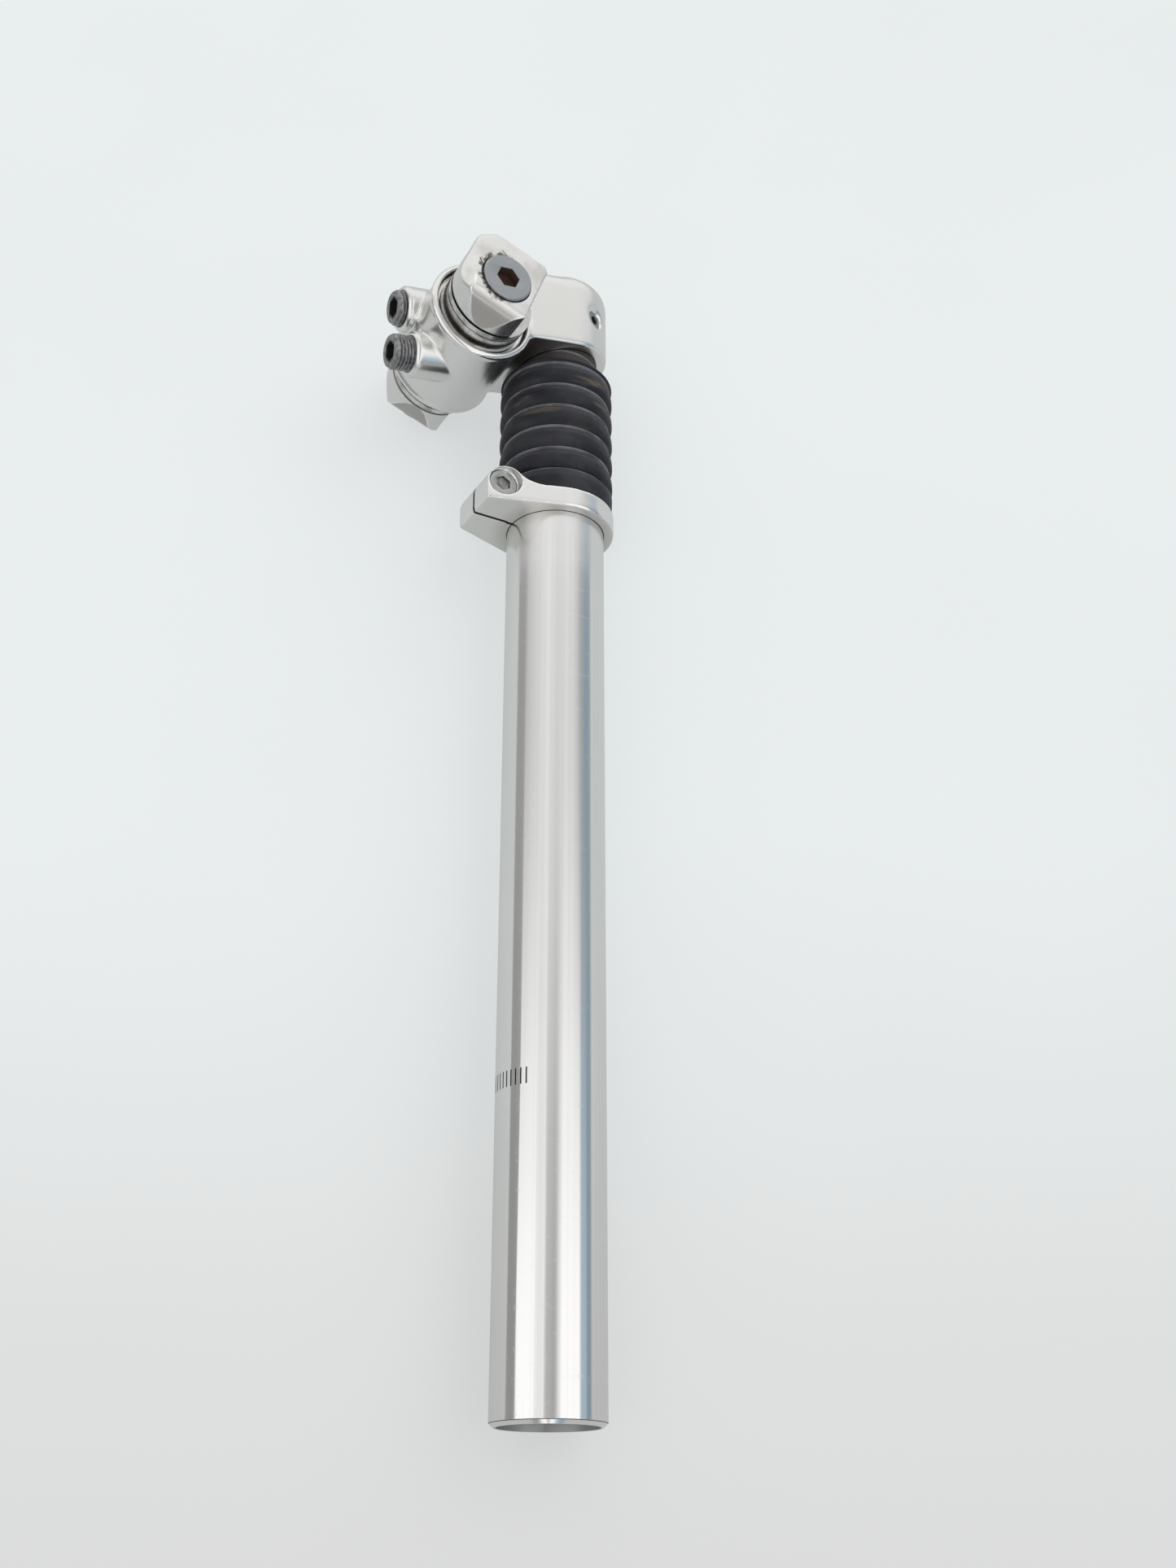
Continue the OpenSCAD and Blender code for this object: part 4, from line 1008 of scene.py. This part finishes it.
class SEATPOST_OT_boot(bpy.types.Operator):
    """Turns the rubber boot: a cuff on the tube, the folds and a neck under the head"""
    bl_idname = "seatpost.boot"
    bl_label = "Rubber boot"

    def fold(self, sizes, low, high):
        """Outline of one fold, from its crease up to the next: a small bead that the painted crease highlight lies
        on, then a bulge.
        """
        bead = 0.22 * MM
        crest = low + 0.36 * (high - low)
        depth = sizes.crest_radius - sizes.crease_radius
        points = [(sizes.crease_radius, low)]
        points += arc((sizes.crease_radius + 0.8 * bead, low + 1.3 * bead), bead, -70, 60, 4)
        start = low + 2.9 * bead
        rise, fall = 8, 10
        for step in range(rise):
            share = step / rise
            points.append((sizes.crest_radius - depth * 0.86 * (1 - share) ** 2.2,
                           start + (crest - start) * share))
        for step in range(fall):
            share = step / fall
            points.append((sizes.crest_radius - depth * share ** 2.6,
                           crest + (high - crest) * share))
        return points

    def execute(self, context):
        sizes = context.scene.seatpost_boot
        neck = 13.25 * MM
        inner = sizes.crease_radius - sizes.wall
        low, top = sizes.low_crease, sizes.top_crease

        cuff = turned("boot_cuff", [
            (sizes.crest_radius - 0.5 * MM, sizes.cuff_low),
            (sizes.crest_radius - 0.25 * MM, sizes.cuff_low + 0.3 * MM),
            (sizes.crest_radius - 0.1 * MM, low - 1.2 * MM),
            (sizes.crest_radius - 0.12 * MM, low - 0.5 * MM),
            (sizes.crease_radius + 0.3 * MM, low - 0.05 * MM),
            (sizes.crease_radius, low), (inner, low), (inner, low - 1.0 * MM),
            (neck, low - 1.2 * MM), (neck, sizes.cuff_low)], hollow=True)
        smooth(cuff, 40)
        keep_places(cuff)
        fit(cuff, "post", "bellows")

        pitch = (top - low) / sizes.folds
        outline = []
        for step in range(sizes.folds):
            outline += self.fold(sizes, low + step * pitch, low + (step + 1) * pitch)
        outline.append((sizes.crease_radius, top))
        for step in range(sizes.folds, 0, -1):
            outline.append((inner, low + step * pitch))
            outline.append((inner + 0.7 * MM, low + (step - 0.7) * pitch))
        outline.append((inner, low))
        folds = turned("boot_folds", outline, hollow=True)
        smooth(folds, 40)
        keep_places(folds)
        fit(folds, "post", "bellows")
        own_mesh(folds)

        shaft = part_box("inner_shaft")[1].y + 0.1 * MM
        grip = shaft + sizes.wall
        neck_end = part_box("bellows")[1].z + 2 * MM
        # The neck clears the bumper it comes down over at the end of the travel
        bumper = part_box("bottom_out_bumper")[1].y + 0.1 * MM
        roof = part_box("bottom_out_bumper")[1].z + TRAVEL + 0.2 * MM
        outline = [(inner, top), (sizes.crease_radius, top),
                   (sizes.crease_radius + 0.3 * MM, top + 0.12 * MM),
                   (sizes.crest_radius - 0.12 * MM, top + 0.75 * MM),
                   (sizes.crest_radius - 0.05 * MM, top + 1.0 * MM),
                   (sizes.crest_radius - 0.5 * MM, top + 1.35 * MM),
                   (bumper + 1.4 * MM, top + 1.9 * MM), (bumper + 0.8 * MM, roof)]
        outline += arc((grip + 1.4 * MM, roof + 1.8 * MM), 1.4 * MM, 250, 180, 6)
        outline += [(grip, neck_end), (shaft, neck_end), (shaft, roof + 0.2 * MM),
                    (bumper, roof), (bumper, top + 1.4 * MM), (inner, top + 0.4 * MM)]
        neck = turned("boot_neck", outline, hollow=True)
        only(neck)
        bpy.ops.object.mode_set(mode="EDIT")
        bpy.ops.mesh.select_all(action="SELECT")
        under_head = 6.4 * MM
        up = HEAD.to_3x3() @ Vector((0, 0, 1))
        bpy.ops.mesh.bisect(plane_co=HEAD @ Vector((0, 0, -under_head)), plane_no=up,
                            use_fill=True, clear_outer=True)
        bpy.ops.object.mode_set(mode="OBJECT")
        smooth(neck, 40)
        keep_places(neck)
        fit(neck, "sprung_post", "bellows")
        return {"FINISHED"}


# ---- Collar ----

def screw_socket(across_flats, top, depth):
    """A hexagon with a drilled point, for cutting a key's socket down from a height."""
    deselect()
    radius = across_flats / 2 / math.cos(math.radians(30))
    bpy.ops.mesh.primitive_cylinder_add(vertices=6, radius=radius, depth=depth + 1 * MM,
                                        location=(0, 0, top - depth / 2 + 0.5 * MM))
    tool = added("socket")
    bpy.ops.object.mode_set(mode="EDIT")
    shoulder = 0.08 * across_flats
    drill_point = 0.12 * across_flats
    pick(tool, lambda face: face.normal.z < -0.5, "faces")
    bpy.ops.mesh.inset(thickness=shoulder, depth=0)
    bpy.ops.mesh.extrude_region_move(TRANSFORM_OT_translate={"value": (0, 0, -drill_point)})
    bpy.ops.transform.resize(value=(0.35, 0.35, 1), center_override=(0, 0, top - depth))
    place(tool, Matrix())
    return tool


def cap_screw(name, shank, head, tip, seat, top, key, key_depth, rim):
    """A socket head screw about Z, its head up. The rim is the round of the head's edge."""
    outline = [(shank - 0.4 * MM, tip), (shank, tip + 0.4 * MM), (shank, seat),
               (head - 0.15 * MM, seat), (head, seat + 0.15 * MM)]
    outline += arc((head - rim, top - rim), rim, 0, 84, 6)
    outline += [(head - rim - 0.1 * MM, top)]
    screw = turned(name, outline, sides=SCREW_SIDES)
    combine(screw, screw_socket(key, top, key_depth))
    break_edges(screw, 0.12 * MM, 35)
    smooth(screw, 35)
    return screw


class SEATPOST_OT_collar(bpy.types.Operator):
    """Rounds the collar's casting and sets its pinch bolt"""
    bl_idname = "seatpost.collar"
    bl_label = "Collar and pinch bolt"

    def execute(self, context):
        sizes = context.scene.seatpost_screws
        low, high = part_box("collar_pinch_bolt")
        head_radius = (high.x - low.x) / 2
        middle = Matrix.Translation(((low.x + high.x) / 2, 0, (low.z + high.z) / 2)) @ ACROSS
        end = -low.y
        proud = 0.3 * MM
        lug_face = end - proud
        head_height = 4.5 * MM
        seat = end - head_height
        filled_radius = head_radius + 0.15 * MM
        seat_radius = head_radius - 0.05 * MM
        bolt_radius = head_radius - 0.15 * MM
        shank = 2.5 * MM
        key_depth = 1.2 * MM
        rim = 0.65 * MM

        # The bolt's seat is filled while the casting is rounded, so that its thin wall stays whole
        collar = copy_of("clamp_collar", "collar")
        combine(collar, bar(filled_radius, seat, lug_face, middle), "UNION")
        soften(collar, voxel=0.2 * MM)
        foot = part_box("clamp_collar")[0].z
        band = 15 * MM

        def roundness(point):
            """Full along the collar's lower outer edge."""
            outer = fade(math.hypot(point.x, point.y), band, band + 0.5 * MM)
            return outer * fade(point.z, foot + 1.6 * MM, foot + 0.8 * MM)

        ease(collar, passes=50, weight=roundness)
        combine(collar, bar(seat_radius, seat, lug_face + 1 * MM, middle))
        smooth(collar, 60)
        fit(collar, "post", "clamp_collar")

        bolt = cap_screw("pinch_bolt", shank, bolt_radius, -high.y, seat,
                         end - sizes.pinch_sink, sizes.pinch_key, key_depth, rim)
        place(bolt, middle)
        fit(bolt, "post", "collar_pinch_bolt")
        return {"FINISHED"}


# ---- Head ----

class SEATPOST_OT_head(bpy.types.Operator):
    """Rounds the head's forging"""
    bl_idname = "seatpost.head"
    bl_label = "Head"

    def execute(self, context):
        head = copy_of("seat_head", "head")
        soften(head, voxel=0.36 * MM, matrix=HEAD)
        to_head = HEAD.inverted()
        top = extent("seat_head", HEAD)[1].z

        def roundness(point):
            """Full on the block's upper edges, less at its foot, nothing on the barrel."""
            spot = to_head @ point
            from_barrel = math.hypot(spot.x, spot.z)
            upper = 0.25 + 0.75 * fade(spot.z, top - 19 * MM, top - 10 * MM)
            return fade(from_barrel, 17 * MM, 22 * MM) * fade(spot.x, 2 * MM, 14 * MM) * upper

        ease(head, passes=70, weight=roundness)
        smooth(head, 60)
        fit(head, "sprung_post", "seat_head")
        return {"FINISHED"}


# ---- Saddle clamp ----

class SEATPOST_OT_clamps(bpy.types.Operator):
    """Shapes the outer clamps, and turns the bolt and nut that close them"""
    bl_idname = "seatpost.clamps"
    bl_label = "Saddle clamp"

    def execute(self, context):
        ear = copy_of("outer_clamp_left", "clamp_ear_left")
        soften(ear, voxel=0.2 * MM, matrix=CLAMP)
        to_clamp = CLAMP.inverted()
        turn = to_clamp.to_3x3()
        bolt_face = -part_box("clamp_bolt")[0].y
        radius = -extent("outer_clamp_left", CLAMP)[0].z

        def roundness(point):
            """Full along the rear edge of the outer end, above its toe."""
            spot = to_clamp @ point
            rear = fade(spot.x, -6 * MM, -9 * MM) * fade(spot.z, -9.5 * MM, -6 * MM)
            return rear * fade(spot.y, bolt_face - 7 * MM, bolt_face - 4 * MM)

        def stained_and_shaded(point, normal):
            """Full on the slanted underside and the round that leads to it, where brown stain and painted shade
            go.
            """
            slant = fade((turn @ normal).y, 0.08, 0.2)
            return slant * fade((to_clamp @ point).z, -8 * MM, -11 * MM)

        def rubbed(point, normal):
            """Full where the slanted underside meets the clamp's round."""
            spot = to_clamp @ point
            facing = turn @ normal
            bend = abs(facing.x) * radius / max(abs(spot.x), 1 * MM)
            edge = fade(bend, 0.1, 0.3) * fade(bend, 0.95, 0.8) * fade(facing.y, 0.02, 0.06)
            return edge * fade(abs(spot.x), 3 * MM, 5 * MM) * fade(spot.z, -4 * MM, -6 * MM)

        ease(ear, passes=90, weight=roundness)
        keep_share(ear, STAIN_AND_SHADE, stained_and_shaded)
        keep_share(ear, WORN, rubbed)
        smooth(ear, 60)
        fit(mirrored(ear, "clamp_ear_right"), "rail_clamp", "outer_clamp_right")
        fit(ear, "rail_clamp", "outer_clamp_left")

        sizes = context.scene.seatpost_clamp
        shank = 4 * MM
        head_height = 4.2 * MM
        rim = 0.45 * MM
        low, high = extent("clamp_bolt", CLAMP)
        bolt = cap_screw("clamp_bolt", shank, high.x, -high.y, -low.y - head_height, -low.y,
                         sizes.bolt_key, sizes.bolt_key_depth, rim)
        place(bolt, CLAMP @ ACROSS)
        fit(bolt, "rail_clamp", "clamp_bolt")

        low, high = extent("clamp_nut", CLAMP)
        nut_key_depth = 2.2 * MM
        outline = [(shank, low.y), (high.x - 0.15 * MM, low.y), (high.x, low.y + 0.15 * MM)]
        outline += arc((high.x - rim, high.y - rim), rim, 0, 90, 6)
        outline += [(1 * MM, high.y), (1 * MM, high.y - 1.2 * MM), (shank, high.y - 2.4 * MM)]
        nut = turned("clamp_nut", outline, sides=SCREW_SIDES, hollow=True)
        combine(nut, screw_socket(sizes.bolt_key, high.y, nut_key_depth))
        break_edges(nut, 0.12 * MM, 35)
        smooth(nut, 35)
        place(nut, CLAMP @ Matrix.Rotation(math.radians(-90), 4, "X"))
        fit(nut, "rail_clamp", "clamp_nut")
        return {"FINISHED"}


# ---- Tilt screws ----

def thread(radius, depth, pitch, low, high):
    """A thread's ridge about Z, as a closed coil."""
    deselect()
    foot = 0.1 * MM
    root_width = 0.82 * pitch
    crest_share = 0.22
    bpy.ops.mesh.primitive_plane_add(size=1, rotation=(math.radians(90), 0, 0))
    coil = added("tool")
    coil.scale = (depth + foot, root_width, 1)
    place(coil, Matrix.Translation((radius - (depth - foot) / 2 - foot, 0, low)))
    bpy.ops.object.mode_set(mode="EDIT")
    bpy.ops.mesh.delete(type="ONLY_FACE")
    pick(coil, lambda vert: vert.co.x > radius - depth / 2)
    bpy.ops.transform.resize(value=(1, 1, crest_share), center_override=(radius, 0, low))
    bpy.ops.object.mode_set(mode="OBJECT")
    winding = coil.modifiers.new("Winding", "SCREW")
    winding.axis = "Z"
    winding.angle = math.tau
    winding.screw_offset = pitch
    winding.iterations = math.ceil((high - low) / pitch)
    winding.steps = 64
    winding.render_steps = 64
    only(coil)
    bpy.ops.object.modifier_apply(modifier=winding.name)
    bpy.ops.object.mode_set(mode="EDIT")
    bpy.ops.mesh.select_all(action="SELECT")
    bpy.ops.mesh.remove_doubles(threshold=0.001 * MM)
    bpy.ops.mesh.select_all(action="SELECT")
    bpy.ops.mesh.fill_holes(sides=8)
    bpy.ops.object.mode_set(mode="OBJECT")
    outward(coil)
    return coil


class SEATPOST_OT_tilt_screws(bpy.types.Operator):
    """Turns the two set screws that hold the saddle's tilt"""
    bl_idname = "seatpost.tilt_screws"
    bl_label = "Tilt screws"

    def execute(self, context):
        sizes = context.scene.seatpost_screws
        for level in ("upper", "lower"):
            node = f"tilt_screw_{level}"
            low, high = extent(node, HEAD)
            tip, end = -high.x, -low.x
            radius = (high.y - low.y) / 2
            root = radius - sizes.thread_depth
            ball = 3 * MM
            lead = 0.7 * MM
            sides = 64
            outline = arc((0, tip + ball), ball, -86, 0, 8)
            outline += [(root, tip + ball + 0.2 * MM), (root, end)]
            screw = turned(f"tilt_set_screw_{level}", outline, sides)
            ridge = thread(radius, sizes.thread_depth, sizes.thread_pitch, tip + ball, end + 1 * MM)
            hull = turned("tool", [(root - lead / 2, tip + ball + 0.4 * MM),
                                   (radius, tip + ball + 1.2 * MM), (radius, end - lead),
                                   (radius - lead, end)], sides)
            combine(ridge, hull, "INTERSECT")
            combine(screw, ridge, "UNION")
            combine(screw, screw_socket(sizes.tilt_key, end, sizes.tilt_key))
            smooth(screw, 32)
            middle = (low.z + high.z) / 2
            place(screw, HEAD @ Matrix.Translation((0, 0, middle))
                  @ Matrix.Rotation(math.radians(-90), 4, "Y"))
            fit(screw, f"{level}_screw", node)
        return {"FINISHED"}


# ---- Parts kept as the frame has them ----

class SEATPOST_OT_main_spring(bpy.types.Operator):
    """Splits the main spring into its foot and the rest"""
    bl_idname = "seatpost.main_spring"
    bl_label = "Main spring"

    def execute(self, context):
        low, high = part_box("main_spring")
        foot_share = 0.35
        split = low.z + foot_share * (high.z - low.z)
        preload = JOINTS["preload_advance"]["range_m"][1]
        for name, end, joint, change in (("coil_spring", high.z, "suspension_travel", TRAVEL),
                                         ("spring_foot", low.z, "preload_advance", preload)):
            spring = copy_of("main_spring", name)
            bpy.ops.object.mode_set(mode="EDIT")
            bpy.ops.mesh.select_all(action="SELECT")
            bpy.ops.mesh.bisect(plane_co=(0, 0, split), plane_no=(0, 0, 1), use_fill=True,
                                clear_inner=end > split, clear_outer=end < split)
            bpy.ops.object.mode_set(mode="OBJECT")
            smooth(spring, 40)
            fit(spring, "post", "main_spring")
            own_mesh(spring)
        return {"FINISHED"}


class SEATPOST_OT_turned_parts(bpy.types.Operator):
    """Gives the parts that keep the frame's own shape their finishes"""
    bl_idname = "seatpost.turned_parts"
    bl_label = "Finishes of the plain turned parts"

    def execute(self, context):
        for node, part in NODES.items():
            if not part.hide_render:
                part.data.materials.clear()
                part.data.materials.append(finish(SLOT_OF[node]))
        return {"FINISHED"}


# ---- Add-on ----

STEPS = (SEATPOST_OT_stage, SEATPOST_OT_boot, SEATPOST_OT_collar, SEATPOST_OT_head,
         SEATPOST_OT_clamps, SEATPOST_OT_tilt_screws, SEATPOST_OT_main_spring,
         SEATPOST_OT_turned_parts)


class SEATPOST_PT_panel(bpy.types.Panel):
    """Lists the seatpost's steps and sizes"""
    bl_idname = "SEATPOST_PT_panel"
    bl_label = "Seatpost"
    bl_space_type = "VIEW_3D"
    bl_region_type = "UI"
    bl_category = "Seatpost"

    def draw(self, context):
        column = self.layout.column(align=True)
        for step in STEPS:
            column.operator(step.bl_idname)
        for name, sizes in GROUPS.items():
            box = self.layout.box()
            box.label(text=sizes.__doc__)
            for key in sizes.__annotations__:
                box.prop(getattr(context.scene, name), key)


def register():
    """Adds the sizes, the steps and the panel."""
    for kind in (*GROUPS.values(), *STEPS, SEATPOST_PT_panel):
        bpy.utils.register_class(kind)
    for name, sizes in GROUPS.items():
        setattr(bpy.types.Scene, name, PointerProperty(type=sizes))


def unregister():
    """Takes away what register added."""
    for name in GROUPS:
        delattr(bpy.types.Scene, name)
    for kind in reversed((*GROUPS.values(), *STEPS, SEATPOST_PT_panel)):
        bpy.utils.unregister_class(kind)


def main():
    """Builds the post piece by piece."""
    register()
    bpy.ops.seatpost.stage()
    bpy.ops.seatpost.boot()
    bpy.ops.seatpost.collar()
    bpy.ops.seatpost.head()
    bpy.ops.seatpost.clamps()
    bpy.ops.seatpost.tilt_screws()
    bpy.ops.seatpost.main_spring()
    bpy.ops.seatpost.turned_parts()


if __name__ == "__main__":
    main()
